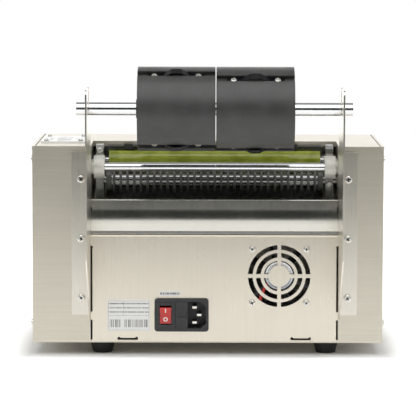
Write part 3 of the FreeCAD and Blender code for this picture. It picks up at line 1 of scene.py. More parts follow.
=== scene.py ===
# %% [markdown]
# # A sheet cutter with two paper drums, dressed for its portrait
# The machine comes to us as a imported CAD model: every plate, screw and roller already has its
# true size and place. In this lesson we keep those shapes and give each of them the finish of
# the real thing: brushed stainless sheet, ground plates, black nylon, clear rubber. Then we
# model the small pieces that a CAD model leaves out, such as labels and printed marks.
# Everything is in metres. The rear of the machine faces the camera, towards -Y.

# %% Load the machine
import math

import bmesh
import bpy
from mathutils import Matrix, Vector


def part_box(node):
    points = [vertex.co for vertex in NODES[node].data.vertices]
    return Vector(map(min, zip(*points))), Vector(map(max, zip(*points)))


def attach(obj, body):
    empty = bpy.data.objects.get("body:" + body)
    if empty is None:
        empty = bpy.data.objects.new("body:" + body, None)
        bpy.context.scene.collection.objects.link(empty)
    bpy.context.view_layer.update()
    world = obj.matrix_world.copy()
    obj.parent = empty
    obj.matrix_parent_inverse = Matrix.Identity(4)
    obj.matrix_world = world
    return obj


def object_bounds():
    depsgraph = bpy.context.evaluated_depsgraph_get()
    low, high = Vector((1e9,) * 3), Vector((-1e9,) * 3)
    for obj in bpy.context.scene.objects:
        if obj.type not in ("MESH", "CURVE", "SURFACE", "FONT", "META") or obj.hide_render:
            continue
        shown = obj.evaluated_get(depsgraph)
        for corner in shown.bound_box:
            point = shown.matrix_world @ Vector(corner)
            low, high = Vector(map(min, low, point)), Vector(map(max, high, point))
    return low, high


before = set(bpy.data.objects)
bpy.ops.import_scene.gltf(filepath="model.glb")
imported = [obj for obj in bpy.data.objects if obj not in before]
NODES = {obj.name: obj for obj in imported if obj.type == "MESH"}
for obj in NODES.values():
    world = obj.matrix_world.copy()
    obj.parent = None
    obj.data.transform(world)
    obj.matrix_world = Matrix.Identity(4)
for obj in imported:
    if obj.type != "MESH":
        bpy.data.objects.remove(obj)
cad_box = [list(corner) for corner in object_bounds()]

# %% [markdown]
# ## The camera
# A product portrait is taken from far away with a long lens, so that the boxes stay square and
# only a sliver of their tops shows. We stand 2.3 m behind the machine, a little above it, and
# look down six degrees. The camera is rolled by a seventh of a degree, as a tripod often is.

# %% Place the camera
LENS = 219.7
CAMERA_PLACE = Vector((0.00014, -2.3705, 0.3775))
LOOK_DOWN = math.radians(5.907)
ROLL = math.radians(0.15)

camera_data = bpy.data.cameras.new("portrait_camera")
camera_data.lens = LENS
camera_data.sensor_width = 36
camera_data.clip_end = 50
camera = bpy.data.objects.new("portrait_camera", camera_data)
bpy.context.scene.collection.objects.link(camera)
turn = Matrix.Rotation(math.radians(90) - LOOK_DOWN, 4, "X") @ Matrix.Rotation(ROLL, 4, "Z")
camera.matrix_world = Matrix.Translation(CAMERA_PLACE) @ turn
bpy.context.scene.camera = camera
print("lens %.1f mm, %.2f m away" % (LENS, -CAMERA_PLACE.y))

# %% [markdown]
# ## Small tools for modelling
# Operators act on whatever is selected, and the loaded nodes are all selected. So every piece
# starts with an empty selection, and ends with its place moved into its mesh: the object
# itself stays at the origin, unturned and unscaled, and patterns on Object coordinates hold.

# %% Modelling helpers
MM = 0.001


def start_fresh():
    if bpy.context.object and bpy.context.object.mode != "OBJECT":
        bpy.ops.object.mode_set(mode="OBJECT")
    bpy.ops.object.select_all(action="DESELECT")


def settle(name):
    """Names the active object and moves its place, turn and size into its mesh."""
    piece = bpy.context.object
    piece.name = name
    piece.data.name = name
    bpy.ops.object.transform_apply(location=True, rotation=True, scale=True)
    return piece


def add_block(name, low, high):
    """A block between two corners given in millimetres."""
    start_fresh()
    middle = [(a + b) / 2 * MM for a, b in zip(low, high)]
    size = [(b - a) * MM for a, b in zip(low, high)]
    bpy.ops.mesh.primitive_cube_add(size=1, location=middle, scale=size)
    return settle(name)


def add_rod(name, centre, radius, length, axis="Y", sides=48):
    """A rod of that length about a centre, both in millimetres."""
    start_fresh()
    quarter = math.radians(90)
    turns = {"X": (0, quarter, 0), "Y": (quarter, 0, 0), "Z": (0, 0, 0)}
    bpy.ops.mesh.primitive_cylinder_add(
        vertices=sides, radius=radius * MM, depth=length * MM,
        location=[v * MM for v in centre], rotation=turns[axis])
    return settle(name)


def pick_edges(piece, wanted):
    """Leaves selected, in edit mode, the edges for which wanted(start, end) holds."""
    bpy.context.view_layer.objects.active = piece
    bpy.ops.object.mode_set(mode="EDIT")
    bpy.ops.mesh.select_mode(type="EDGE")
    bpy.ops.mesh.select_all(action="DESELECT")
    bpy.ops.object.mode_set(mode="OBJECT")
    points = piece.data.vertices
    for edge in piece.data.edges:
        edge.select = wanted(points[edge.vertices[0]].co, points[edge.vertices[1]].co)
    bpy.ops.object.mode_set(mode="EDIT")


def pick_faces(piece, wanted):
    """Leaves selected, in edit mode, the faces for which wanted(centre, normal) holds."""
    bpy.context.view_layer.objects.active = piece
    bpy.ops.object.mode_set(mode="EDIT")
    bpy.ops.mesh.select_mode(type="FACE")
    bpy.ops.mesh.select_all(action="DESELECT")
    bpy.ops.object.mode_set(mode="OBJECT")
    for face in piece.data.polygons:
        face.select = wanted(face.center, face.normal)
    bpy.ops.object.mode_set(mode="EDIT")


def bevel_picked(width, segments):
    bpy.ops.mesh.bevel(offset=width * MM, segments=segments, affect="EDGES")
    bpy.ops.object.mode_set(mode="OBJECT")


def runs_along(axis):
    """A test for edges that run along one axis."""
    others = [i for i in range(3) if i != "XYZ".index(axis)]
    return lambda a, b: all(abs(a[i] - b[i]) < 1e-7 for i in others)


def smooth(piece, degrees=35):
    start_fresh()
    piece.select_set(True)
    bpy.context.view_layer.objects.active = piece
    bpy.ops.object.shade_smooth_by_angle(angle=math.radians(degrees))


def dress(piece, finish, body):
    piece.data.materials.clear()
    piece.data.materials.append(finish)
    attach(piece, body)
    print(piece.name, "faces:", len(piece.data.polygons))


def join(name, pieces):
    start_fresh()
    for piece in pieces:
        piece.select_set(True)
    bpy.context.view_layer.objects.active = pieces[0]
    bpy.ops.object.join()
    return settle(name)


# %% [markdown]
# ## The studio
# Steel shows its surroundings more than itself, so the room is half of the finish. The machine
# stands on a round white table. One wide soft box hangs high between the camera and the
# machine, and two small ones stand at the sides. Past the table, on the camera's side, the
# room is dark: that is why the boxes look light near their feet and greyer towards the top.
# Behind the machine the room is white, and the tops and rods pick that up. The camera itself
# sees plain white wherever the table ends.

# %% Lay the white table
TABLE_RADIUS = 1.65
TABLE_MIDDLE = 0.7
TABLE_RIM = 0.02

start_fresh()
bpy.ops.mesh.primitive_circle_add(vertices=128, radius=TABLE_RADIUS, fill_type="NGON",
                                  location=(0, TABLE_MIDDLE, 0))
table = settle("white_table")
pick_faces(table, lambda centre, normal: True)
bpy.ops.mesh.inset(thickness=TABLE_RIM, depth=0)
bpy.ops.object.mode_set(mode="OBJECT")
pick_edges(table, lambda a, b: min(math.hypot(v.x, v.y - TABLE_MIDDLE) for v in (a, b))
           > TABLE_RADIUS - 0.002)
bpy.ops.mesh.extrude_edges_move(TRANSFORM_OT_translate={"value": (0, 0, -TABLE_RIM)})
bpy.ops.object.mode_set(mode="OBJECT")
print("table faces:", len(table.data.polygons))

# %% Hang the soft boxes
def soft_box(name, place, aim, size, power):
    data = bpy.data.lights.new(name, "AREA")
    data.shape = "RECTANGLE"
    data.size, data.size_y = size
    data.energy = power
    lamp = bpy.data.objects.new(name, data)
    bpy.context.scene.collection.objects.link(lamp)
    facing = (Vector(aim) - Vector(place)).to_track_quat("-Z", "Y").to_matrix().to_4x4()
    lamp.matrix_world = Matrix.Translation(place) @ facing


soft_box("front_top_box", (0, -0.95, 1.42), (0, 0, 0.13), (1.9, 1.55), 19)
soft_box("left_box", (-1.7, -0.6, 0.9), (0, 0, 0.15), (0.8, 1.0), 4)
soft_box("right_box", (1.7, -0.6, 0.9), (0, 0, 0.15), (0.8, 1.0), 4)
bpy.context.scene.view_settings.view_transform = "Standard"

# %% [markdown]
# ## Wiring helpers
# A finish is a small network of nodes. These helpers add a node, join two sockets and do sums
# on sockets or plain numbers, so that the recipes below read like recipes.

# %% Node helpers
def add_node(tree, kind, **settings):
    node = tree.nodes.new("ShaderNode" + kind)
    for key, value in settings.items():
        setattr(node, key, value)
    return node


def feed(tree, value, socket):
    """Joins a socket to another one, or sets it to a plain value."""
    if isinstance(value, bpy.types.NodeSocket):
        tree.links.new(value, socket)
    else:
        socket.default_value = value


def sums(tree, operation, *values):
    node = add_node(tree, "Math", operation=operation)
    for value, socket in zip(values, node.inputs):
        feed(tree, value, socket)
    return node.outputs[0]


def clamped(tree, value, low, high):
    """0 at low, 1 at high, and smooth in between."""
    node = add_node(tree, "MapRange", interpolation_type="SMOOTHSTEP")
    feed(tree, value, node.inputs["Value"])
    feed(tree, low, node.inputs["From Min"])
    feed(tree, high, node.inputs["From Max"])
    return node.outputs["Result"]


def blended(tree, share, first, second):
    node = add_node(tree, "Mix", data_type="RGBA")
    feed(tree, share, node.inputs["Factor"])
    feed(tree, first, node.inputs[6])
    feed(tree, second, node.inputs[7])
    return node.outputs[2]


def vectors(tree, operation, *values):
    node = add_node(tree, "VectorMath", operation=operation)
    for value, socket in zip(values, node.inputs):
        feed(tree, value, socket)
    return node.outputs["Value" if operation in ("DOT_PRODUCT", "LENGTH") else "Vector"]


def noise(tree, place, scale, detail=2.0, roughness=0.5):
    node = add_node(tree, "TexNoise")
    feed(tree, place, node.inputs["Vector"])
    feed(tree, scale, node.inputs["Scale"])
    node.inputs["Detail"].default_value = detail
    node.inputs["Roughness"].default_value = roughness
    return node.outputs["Fac"]


def new_group(name, inputs, outputs):
    """A shader node group with named inputs (name, type, value) and outputs (name, type)."""
    group = bpy.data.node_groups.new(name, "ShaderNodeTree")
    for label, kind, value in inputs:
        made = group.interface.new_socket(name=label, in_out="INPUT",
                                          socket_type="NodeSocket" + kind)
        made.default_value = value
    for label, kind in outputs:
        group.interface.new_socket(name=label, in_out="OUTPUT", socket_type="NodeSocket" + kind)
    way_in = group.nodes.new("NodeGroupInput").outputs
    way_out = group.nodes.new("NodeGroupOutput").inputs
    return group, way_in, way_out


# %% [markdown]
# ## The air of the room
# The world gives the room its far walls. A direction's Y says whether it looks behind the
# machine, where it is white, or towards the camera, where it is nearly dark. Its Z says how
# high it looks: the white fades out upwards, and a faint ceiling is left over everything. The
# light path tells rays from the camera apart, and those see white.

# %% Paint the far walls
DARK_WALL = (0.05, 0.058, 0.054, 1)
WHITE_WALL = (1.5, 1.5, 1.5, 1)

world = bpy.data.worlds.new("studio_air")
bpy.context.scene.world = world
world.use_nodes = True
tree = world.node_tree
direction = add_node(tree, "SeparateXYZ")
feed(tree, add_node(tree, "TexCoord").outputs["Generated"], direction.inputs[0])
behind = clamped(tree, direction.outputs["Y"], -0.35, 0.3)
low_down = clamped(tree, direction.outputs["Z"], 0.8, 0.3)
ceiling = sums(tree, "MULTIPLY", clamped(tree, direction.outputs["Z"], 0.45, 0.85), 0.2)
pale = sums(tree, "MAXIMUM", sums(tree, "MULTIPLY", behind, low_down), ceiling)
wall = blended(tree, pale, DARK_WALL, WHITE_WALL)
seen = add_node(tree, "LightPath").outputs["Is Camera Ray"]
feed(tree, blended(tree, seen, wall, (1, 1, 1, 1)), tree.nodes["Background"].inputs["Color"])
print("world nodes:", len(tree.nodes))

# %% [markdown]
# ## Brushed grain
# A belt sander leaves long fine scratches, all one way. On a folded sheet they follow the
# sheet round the bend. Noise that is stretched a hundred times along one axis looks just like
# them. The group asks for the stretch on most faces and for the stretch on the faces that
# look along one given direction, because a stretch along X would give dots on a face that
# looks along X.

# %% Build the brushed grain group
grain_group, given, result = new_group(
    "brushed_grain",
    [("Stretch", "Vector", (10, 1500, 1500)), ("Turned Stretch", "Vector", (1500, 10, 1500)),
     ("Turned Faces", "Vector", (1, 0, 0))],
    [("Strokes", "Float"), ("Bands", "Float"), ("Cloud", "Float")])
place = add_node(grain_group, "TexCoord")
facing = vectors(grain_group, "DOT_PRODUCT", place.outputs["Normal"], given["Turned Faces"])
is_turned = sums(grain_group, "GREATER_THAN", sums(grain_group, "ABSOLUTE", facing), 0.7)
stretch = add_node(grain_group, "Mix", data_type="VECTOR")
feed(grain_group, is_turned, stretch.inputs["Factor"])
feed(grain_group, given["Stretch"], stretch.inputs[4])
feed(grain_group, given["Turned Stretch"], stretch.inputs[5])
spread = vectors(grain_group, "MULTIPLY", place.outputs["Object"], stretch.outputs[1])
feed(grain_group, noise(grain_group, spread, 1.0, 3.0, 0.65), result["Strokes"])
feed(grain_group, noise(grain_group, spread, 0.13, 3.0, 0.6), result["Bands"])
feed(grain_group, noise(grain_group, place.outputs["Object"], 14.0, 2.0), result["Cloud"])
print("brushed_grain nodes:", len(grain_group.nodes))

# %% [markdown]
# ## Rubbed edges
# Hands and boxes rub an edge first: steel turns pale and matt there and black parts turn grey.
# The Bevel node gives the normal of an imaginary rounded edge. Where it differs from the true
# normal, we are near an edge. A little noise breaks the line up.

# %% Build the rubbed edges group
edge_group, given, result = new_group(
    "rubbed_edges",
    [("Width", "Float", 0.0008), ("Breakup", "Float", 300.0)],
    [("Mask", "Float")])
rounded = add_node(edge_group, "Bevel", samples=4)
feed(edge_group, given["Width"], rounded.inputs["Radius"])
true_normal = add_node(edge_group, "NewGeometry")
place = add_node(edge_group, "TexCoord")
match = vectors(edge_group, "DOT_PRODUCT", rounded.outputs[0], true_normal.outputs["Normal"])
near_edge = clamped(edge_group, sums(edge_group, "SUBTRACT", 1.0, match), 0.01, 0.18)
patchy = noise(edge_group, place.outputs["Object"], given["Breakup"], 3.0)
feed(edge_group, sums(edge_group, "MULTIPLY", near_edge, clamped(edge_group, patchy, 0.3, 0.6)),
     result["Mask"])
print("rubbed_edges nodes:", len(edge_group.nodes))

# %% [markdown]
# ## Dust and finger marks
# Dust lies on faces that look up. Finger marks are soft patches where the gloss is lower. Both
# stay faint, because this machine is new, but without them plastic looks like paint.

# %% Build the dust and finger mark groups
dust_group, given, result = new_group(
    "settled_dust", [("Grain", "Float", 1800.0)], [("Mask", "Float")])
place = add_node(dust_group, "TexCoord")
split = add_node(dust_group, "SeparateXYZ")
feed(dust_group, place.outputs["Normal"], split.inputs[0])
looks_up = clamped(dust_group, split.outputs["Z"], 0.35, 0.95)
specks = clamped(dust_group, noise(dust_group, place.outputs["Object"], given["Grain"], 2.0),
                 0.52, 0.7)
patches = noise(dust_group, place.outputs["Object"], 30.0, 3.0)
feed(dust_group, sums(dust_group, "MULTIPLY", looks_up,
                      sums(dust_group, "MULTIPLY", specks, patches)), result["Mask"])

marks_group, given, result = new_group(
    "finger_marks", [("Size", "Float", 45.0)], [("Mask", "Float")])
place = add_node(marks_group, "TexCoord")
feed(marks_group, clamped(marks_group, noise(marks_group, place.outputs["Object"],
                                             given["Size"], 4.0, 0.62), 0.45, 0.75),
     result["Mask"])
print("settled_dust and finger_marks are ready")

# %% [markdown]
# ## Moulded skin and turned rings
# A moulded part has a fine, even, pebbled skin. A part from a lathe has fine rings about its
# axis: on the round side they are lines at right angles to the axis, and on the end faces
# they are circles. The rings group adds the distance along the axis to the distance from it,
# and looks that sum up in a noise that changes only along one line.

# %% Build the moulded skin and turned rings groups
skin_group, given, result = new_group(
    "moulded_skin", [("Pebbles", "Float", 2500.0)], [("Height", "Float"), ("Mottle", "Float")])
place = add_node(skin_group, "TexCoord")
feed(skin_group, noise(skin_group, place.outputs["Object"], given["Pebbles"], 2.0, 0.6),
     result["Height"])
feed(skin_group, noise(skin_group, place.outputs["Object"], 60.0, 3.0), result["Mottle"])

rings_group, given, result = new_group(
    "turned_rings",
    [("Centre", "Vector", (0, 0, 0)), ("Along", "Vector", (1, 0, 0)),
     ("Across", "Vector", (0, 1, 1)), ("Rings", "Float", 2500.0)],
    [("Rings", "Float"), ("Broad", "Float")])
place = add_node(rings_group, "TexCoord")
offset = vectors(rings_group, "SUBTRACT", place.outputs["Object"], given["Centre"])
step = vectors(rings_group, "DOT_PRODUCT", offset, given["Along"])
reach = vectors(rings_group, "LENGTH", vectors(rings_group, "MULTIPLY", offset, given["Across"]))
line = add_node(rings_group, "CombineXYZ")
feed(rings_group, sums(rings_group, "ADD", step, reach), line.inputs["X"])
feed(rings_group, noise(rings_group, line.outputs[0], given["Rings"], 2.0, 0.6), result["Rings"])
feed(rings_group, noise(rings_group, line.outputs[0], 220.0, 2.0), result["Broad"])
print("moulded_skin and turned_rings are ready")

# %% [markdown]
# ## Stainless steel
# Bare steel is metallic, so its colour is the colour of its reflections. What tells one sheet
# from the next is the grain. The strokes change the roughness and, very slightly, the height
# and the colour. Finger marks dull it. A cut edge isn't polished, so it is paler and less of
# a mirror than the face beside it.

# %% The recipe for steel
def use_group(tree, group, **values):
    node = add_node(tree, "Group")
    node.node_tree = group
    for label, value in values.items():
        feed(tree, value, node.inputs[label.replace("_", " ")])
    return node.outputs


def new_finish(name):
    material = bpy.data.materials.new(name)
    material.use_nodes = True
    tree = material.node_tree
    return material, tree, tree.nodes["Principled BSDF"].inputs


def raise_surface(tree, height, distance, shader):
    bump = add_node(tree, "Bump")
    bump.inputs["Distance"].default_value = distance
    feed(tree, height, bump.inputs["Height"])
    rounded = add_node(tree, "Bevel", samples=4)
    rounded.inputs["Radius"].default_value = 0.0003
    feed(tree, rounded.outputs[0], bump.inputs["Normal"])
    feed(tree, bump.outputs[0], shader["Normal"])


def steel(name, tint, rough, stretch, turned, faces, contrast=0.12, bump=0.000006, deep=0.91):
    """Brushed sheet: tint and rough are its own, deep darkens the strokes."""
    material, tree, shader = new_finish(name)
    grain = use_group(tree, grain_group, Stretch=stretch, Turned_Stretch=turned,
                      Turned_Faces=faces)
    edge = use_group(tree, edge_group, Width=0.0006, Breakup=200.0)
    marks = use_group(tree, marks_group, Size=30.0)
    feed(tree, sums(tree, "MULTIPLY_ADD", edge["Mask"], -0.55, 1.0), shader["Metallic"])
    darker = tuple(v * deep for v in tint) + (1,)
    bright = tuple(min(1, v * 1.16) for v in tint) + (1,)
    cut_edge = tuple(min(1, v * 1.3) for v in tint) + (1,)
    strokes = sums(tree, "MULTIPLY_ADD", grain["Strokes"], 0.85,
                   sums(tree, "MULTIPLY", grain["Bands"], 0.15))
    shade = clamped(tree, strokes, 0.3, 0.7)
    colour = blended(tree, shade, darker, tuple(tint) + (1,))
    cloudy = sums(tree, "MULTIPLY", clamped(tree, grain["Cloud"], 0.35, 0.7), 0.12)
    colour = blended(tree, cloudy, colour, bright)
    colour = blended(tree, sums(tree, "MULTIPLY", edge["Mask"], 0.8), colour, cut_edge)
    feed(tree, colour, shader["Base Color"])
    gloss = sums(tree, "MULTIPLY_ADD", strokes, contrast, rough - contrast / 2)
    gloss = sums(tree, "MULTIPLY_ADD", marks["Mask"], 0.035, gloss)
    feed(tree, gloss, shader["Roughness"])
    raise_surface(tree, grain["Strokes"], bump, shader)
    return material


LENGTHWAYS = (12, 1700, 1700)
FORE_AND_AFT = (1700, 12, 1700)
UPRIGHT = (1700, 1700, 12)
WARM_STEEL = (0.725, 0.678, 0.575)

box_steel = steel("box_sheet_brushed_across", WARM_STEEL, 0.36, LENGTHWAYS, FORE_AND_AFT,
                  (1, 0, 0))
panel_steel = steel("panel_sheet_brushed_upright", (0.79, 0.733, 0.625), 0.28, UPRIGHT,
                    FORE_AND_AFT, (0, 0, 1), contrast=0.05, bump=0.0000012, deep=0.95)
# Painted shade: the chute is the same brushed sheet, darkened to stand for the shade under the drums
# and rollers.
chute_steel_painted_shade = steel("chute_sheet_painted_shade_upright", (0.37, 0.36, 0.325), 0.2, UPRIGHT,
                    FORE_AND_AFT, (0, 0, 1), contrast=0.1)
bracket_steel = steel("bracket_sheet_polished", (0.78, 0.735, 0.655), 0.28, UPRIGHT, FORE_AND_AFT,
                      (0, 0, 1), contrast=0.05, bump=0.000001, deep=0.95)
plate_steel = steel("frame_plate_ground", (0.46, 0.455, 0.44), 0.22, FORE_AND_AFT, UPRIGHT,
                    (0, 1, 0), contrast=0.12, deep=0.8)
blued_steel = steel("spring_leaf_blued", (0.045, 0.045, 0.048), 0.32, LENGTHWAYS, FORE_AND_AFT,
                    (1, 0, 0), contrast=0.1, bump=0.000008)
pin_nickel = steel("socket_pin_nickel", (0.82, 0.79, 0.72), 0.22, FORE_AND_AFT, UPRIGHT,
                   (0, 1, 0), contrast=0.08, bump=0.000005, deep=0.9)
print("steel finishes:", sum("sheet" in m.name for m in bpy.data.materials))

# %% [markdown]
# ## Turned and plated metal
# The shaft, the guide rod and the screw heads are chromed: nearly a mirror, with hair-fine rings from
# the lathe. The hubs are plain turned aluminium, so their rings are coarser and duller. Brass is the
# same recipe in another tint. So are the polished spacers between the feed discs, whose dark tint is
# painted shade for the dark they mirror.

# %% The recipe for turned metal
def turned_metal(name, tint, rough, centre, pitch, along=(1, 0, 0), across=(0, 1, 1),
                 relief=0.00002, metal=1.0):
    material, tree, shader = new_finish(name)
    rings = use_group(tree, rings_group, Centre=centre, Along=along, Across=across, Rings=pitch)
    edge = use_group(tree, edge_group, Width=0.0004, Breakup=400.0)
    marks = use_group(tree, marks_group, Size=60.0)
    shader["Metallic"].default_value = metal
    full = tuple(tint) + (1,)
    dim = tuple(v * 0.82 for v in tint) + (1,)
    light = tuple(min(1, v * 1.12) for v in tint) + (1,)
    colour = blended(tree, clamped(tree, rings["Rings"], 0.3, 0.7), dim, full)
    colour = blended(tree, sums(tree, "MULTIPLY", edge["Mask"], 0.7), colour, light)
    feed(tree, colour, shader["Base Color"])
    gloss = sums(tree, "MULTIPLY_ADD", rings["Broad"], 0.1, rough)
    feed(tree, sums(tree, "MULTIPLY_ADD", marks["Mask"], 0.04, gloss), shader["Roughness"])
    raise_surface(tree, rings["Rings"], relief, shader)
    return material


def middle_of(node):
    low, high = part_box(node)
    return tuple((low + high) / 2)


rod_chrome = turned_metal("rod_chrome", (0.86, 0.86, 0.87), 0.06, middle_of("roll_shaft"), 3000,
                          relief=0.000002)
screw_chrome = turned_metal("screw_bright_plate", (0.93, 0.91, 0.86), 0.22, (0, 0, 0), 1200,
                            relief=0.000004)
hub_aluminium = turned_metal("hub_turned_aluminium", (0.95, 0.94, 0.87), 0.42,
                             middle_of("rod_hubs"), 1800, metal=0.25)
pinion_brass = turned_metal("pinion_cut_brass", (0.80, 0.61, 0.30), 0.22,
                            middle_of("motor_pinion"), 2600)
print("turned finishes are ready")

# %% [markdown]
# ## Plastics, paint and rubber
# These share one recipe: a dark or pale body colour, a pebbled or turned relief, lighter rubbed
# edges, dust on top, and a gloss that finger marks break up. The drums are turned from black
# nylon, so their relief is rings instead of pebbles.

# %% The recipe for plastics
def plastic(name, body, rough, pebbles=2500.0, relief=0.00003, worn=0.5, dusty=0.3, lathe=None,
            sheen_coat=0.0):
    material, tree, shader = new_finish(name)
    skin = use_group(tree, skin_group, Pebbles=pebbles)
    edge = use_group(tree, edge_group, Width=0.0007, Breakup=350.0)
    dust = use_group(tree, dust_group, Grain=1600.0)
    marks = use_group(tree, marks_group, Size=40.0)
    shader["Coat Roughness"].default_value = 0.2
    shader["Coat Weight"].default_value = sheen_coat
    base = tuple(body) + (1,)
    lighter = tuple(min(1, v * 1.35 + 0.004) for v in body) + (1,)
    rubbed = tuple(min(1, v * 1.5 + 0.05) for v in body) + (1,)
    colour = blended(tree, clamped(tree, skin["Mottle"], 0.3, 0.75), base, lighter)
    height = skin["Height"]
    if lathe:
        rings = use_group(tree, rings_group, Centre=lathe, Rings=1500.0)
        colour = blended(tree, sums(tree, "MULTIPLY", clamped(tree, rings["Rings"], 0.35, 0.7), 0.5),
                         colour, lighter)
        height = rings["Rings"]
    colour = blended(tree, sums(tree, "MULTIPLY", edge["Mask"], worn), colour, rubbed)
    colour = blended(tree, sums(tree, "MULTIPLY", dust["Mask"], dusty), colour,
                     (0.62, 0.6, 0.56, 1))
    feed(tree, colour, shader["Base Color"])
    gloss = sums(tree, "MULTIPLY_ADD", skin["Mottle"], 0.1, rough - 0.05)
    feed(tree, sums(tree, "MULTIPLY_ADD", marks["Mask"], 0.06, gloss), shader["Roughness"])
    raise_surface(tree, height, relief, shader)
    return material


drum_nylon = plastic("drum_turned_nylon", (0.038, 0.039, 0.037), 0.38, lathe=middle_of("roll_shaft"),
                     relief=0.00004)
sleeve_plastic = plastic("sleeve_plastic", (0.03, 0.03, 0.031), 0.4, lathe=middle_of("roll_shaft"))
roller_black = plastic("feed_disc_rubber", (0.12, 0.12, 0.11), 0.4, lathe=middle_of("feed_discs"))
# Painted shade: the spacers are polished steel, given a dark tint for the dark they mirror.
spacer_painted_shade = turned_metal("spacer_chrome_painted_shade", (0.33, 0.33, 0.32), 0.1,
                            middle_of("feed_spacers"), 3000, relief=0.000002)
gear_nylon = plastic("gear_moulded_nylon", (0.80, 0.78, 0.70), 0.45, dusty=0.1)
motor_paint = plastic("motor_satin_paint", (0.03, 0.03, 0.032), 0.38, pebbles=4000.0, relief=0.00001,
                      sheen_coat=0.2)
supply_paint = plastic("supply_grey_case", (0.55, 0.55, 0.54), 0.5)
board_mask = plastic("board_solder_mask", (0.02, 0.15, 0.06), 0.3, relief=0.00001, sheen_coat=0.3)
fan_plastic = plastic("fan_moulded_plastic", (0.012, 0.012, 0.013), 0.45)
inlet_plastic = plastic("inlet_moulded_plastic", (0.022, 0.022, 0.024), 0.36, worn=0.7)
guide_paint = plastic("guide_satin_paint", (0.016, 0.016, 0.017), 0.38, sheen_coat=0.15)
guide_plastic = plastic("guide_moulded_block", (0.018, 0.018, 0.019), 0.48)
panel_film = plastic("key_panel_film", (0.90, 0.905, 0.90), 0.3, pebbles=3200.0, relief=0.00001)
key_rubber = plastic("key_soft_rubber", (0.80, 0.80, 0.78), 0.35, worn=0.0)
foot_rubber = plastic("foot_moulded_rubber", (0.016, 0.016, 0.016), 0.7, pebbles=1500.0, dusty=0.5)
lead_plastic = plastic("lead_red_insulation", (0.62, 0.03, 0.02), 0.3, relief=0.000005,
                       sheen_coat=0.4)
print("plastic finishes are ready")

# %% [markdown]
# ## The clear yellow roller
# The upper roller is a sleeve of cast polyurethane. It is olive where we look deep into it and
# lime where light comes through, so it gets a part of real transmission over a tinted body.
# Fine bands round it come from grinding.

# %% Cast polyurethane
urethane, tree, shader = new_finish("roller_cast_urethane")
rings = use_group(tree, rings_group, Centre=middle_of("pinch_sleeve"), Rings=900.0)
skin = use_group(tree, skin_group, Pebbles=700.0)
olive, lime = (0.40, 0.46, 0.03, 1), (0.66, 0.74, 0.10, 1)
feed(tree, blended(tree, clamped(tree, skin["Mottle"], 0.3, 0.7), olive, lime), shader["Base Color"])
feed(tree, sums(tree, "MULTIPLY_ADD", rings["Broad"], 0.05, 0.05), shader["Roughness"])
shader["Transmission Weight"].default_value = 0.5
shader["IOR"].default_value = 1.49
raise_surface(tree, rings["Rings"], 0.00001, shader)
print(urethane.name)

# %% [markdown]
# ## The rocker and its marks
# The switch is glossy red with a white bar for on and a white ring for off. They are printed, so
# they are colour and not shape. In Object coordinates the bar is a small rectangle and the
# ring is every point at about the same distance from its centre.

# %% Red rocker with a bar and a ring
def inside_box(tree, place, middle, half):
    """1 where place lies within half of the middle, across X and up Z."""
    offset = vectors(tree, "ABSOLUTE", vectors(tree, "SUBTRACT", place, middle))
    parts = add_node(tree, "SeparateXYZ")
    feed(tree, offset, parts.inputs[0])
    return sums(tree, "MULTIPLY", sums(tree, "LESS_THAN", parts.outputs["X"], half[0]),
                sums(tree, "LESS_THAN", parts.outputs["Z"], half[1]))


low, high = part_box("rocker_switch")
rocker_middle = (low + high) / 2
MARK_RISE = 0.0041
rocker_red, tree, shader = new_finish("rocker_gloss_red")
place = add_node(tree, "TexCoord").outputs["Object"]
bar = inside_box(tree, place, (rocker_middle.x, 0, rocker_middle.z + MARK_RISE), (0.00045, 0.0020))
flat = vectors(tree, "MULTIPLY", vectors(tree, "SUBTRACT", place,
               (rocker_middle.x, 0, rocker_middle.z - MARK_RISE)), (1, 0, 1))
from_ring = sums(tree, "ABSOLUTE", sums(tree, "SUBTRACT", vectors(tree, "LENGTH", flat), 0.0016))
ring = sums(tree, "LESS_THAN", from_ring, 0.0004)
skin = use_group(tree, skin_group, Pebbles=3000.0)
red = blended(tree, clamped(tree, skin["Mottle"], 0.3, 0.7), (0.50, 0.012, 0.010, 1),
              (0.62, 0.020, 0.016, 1))
printed = sums(tree, "MAXIMUM", bar, ring)
feed(tree, blended(tree, printed, red, (0.9, 0.9, 0.88, 1)), shader["Base Color"])
feed(tree, sums(tree, "MULTIPLY_ADD", skin["Mottle"], 0.1, 0.16), shader["Roughness"])
shader["Coat Weight"].default_value = 0.4
raise_surface(tree, skin["Height"], 0.000006, shader)
print("marks at", [round(v * 1000, 1) for v in rocker_middle])

# %% [markdown]
# ## Dressing the nodes
# Each node came with the name of its material slot. One table from slot to finish dresses nearly all
# of them. Three have a finish of their own: the rear panel and the chute, whose grain stands upright,
# and the spacers between the feed discs. The dark tints of the chute and of the spacers are painted
# shade.

# %% One finish for every slot
FINISHES = {
    "brushed_sheet": box_steel, "bracket_steel": bracket_steel, "frame_steel": plate_steel,
    "chrome_rod": rod_chrome, "hub_aluminium": hub_aluminium, "drum_nylon": drum_nylon,
    "sleeve_plastic": sleeve_plastic, "leaf_steel": blued_steel, "screw_steel": screw_chrome,
    "roller_black": roller_black, "polyurethane": urethane, "gear_nylon": gear_nylon,
    "brass_pinion": pinion_brass, "motor_case": motor_paint, "supply_block": supply_paint,
    "board_laminate": board_mask, "fan_plastic": fan_plastic, "lead_red": lead_plastic,
    "inlet_black": inlet_plastic, "pin_metal": pin_nickel, "rocker_red": rocker_red,
    "guide_black": guide_paint, "guide_block": guide_plastic, "panel_plastic": panel_film,
    "key_rubber": key_rubber, "foot_rubber": foot_rubber,
}
OWN_FINISH = {"rear_panel": panel_steel, "chute": chute_steel_painted_shade, "feed_spacers": spacer_painted_shade}
for name, node in NODES.items():
    slot = node.data.materials[0].name
    finish = OWN_FINISH.get(name, FINISHES[slot])
    for number in range(len(node.data.materials)):
        node.data.materials[number] = finish
print("dressed", len(NODES), "nodes in", len(FINISHES) + len(OWN_FINISH), "finishes")

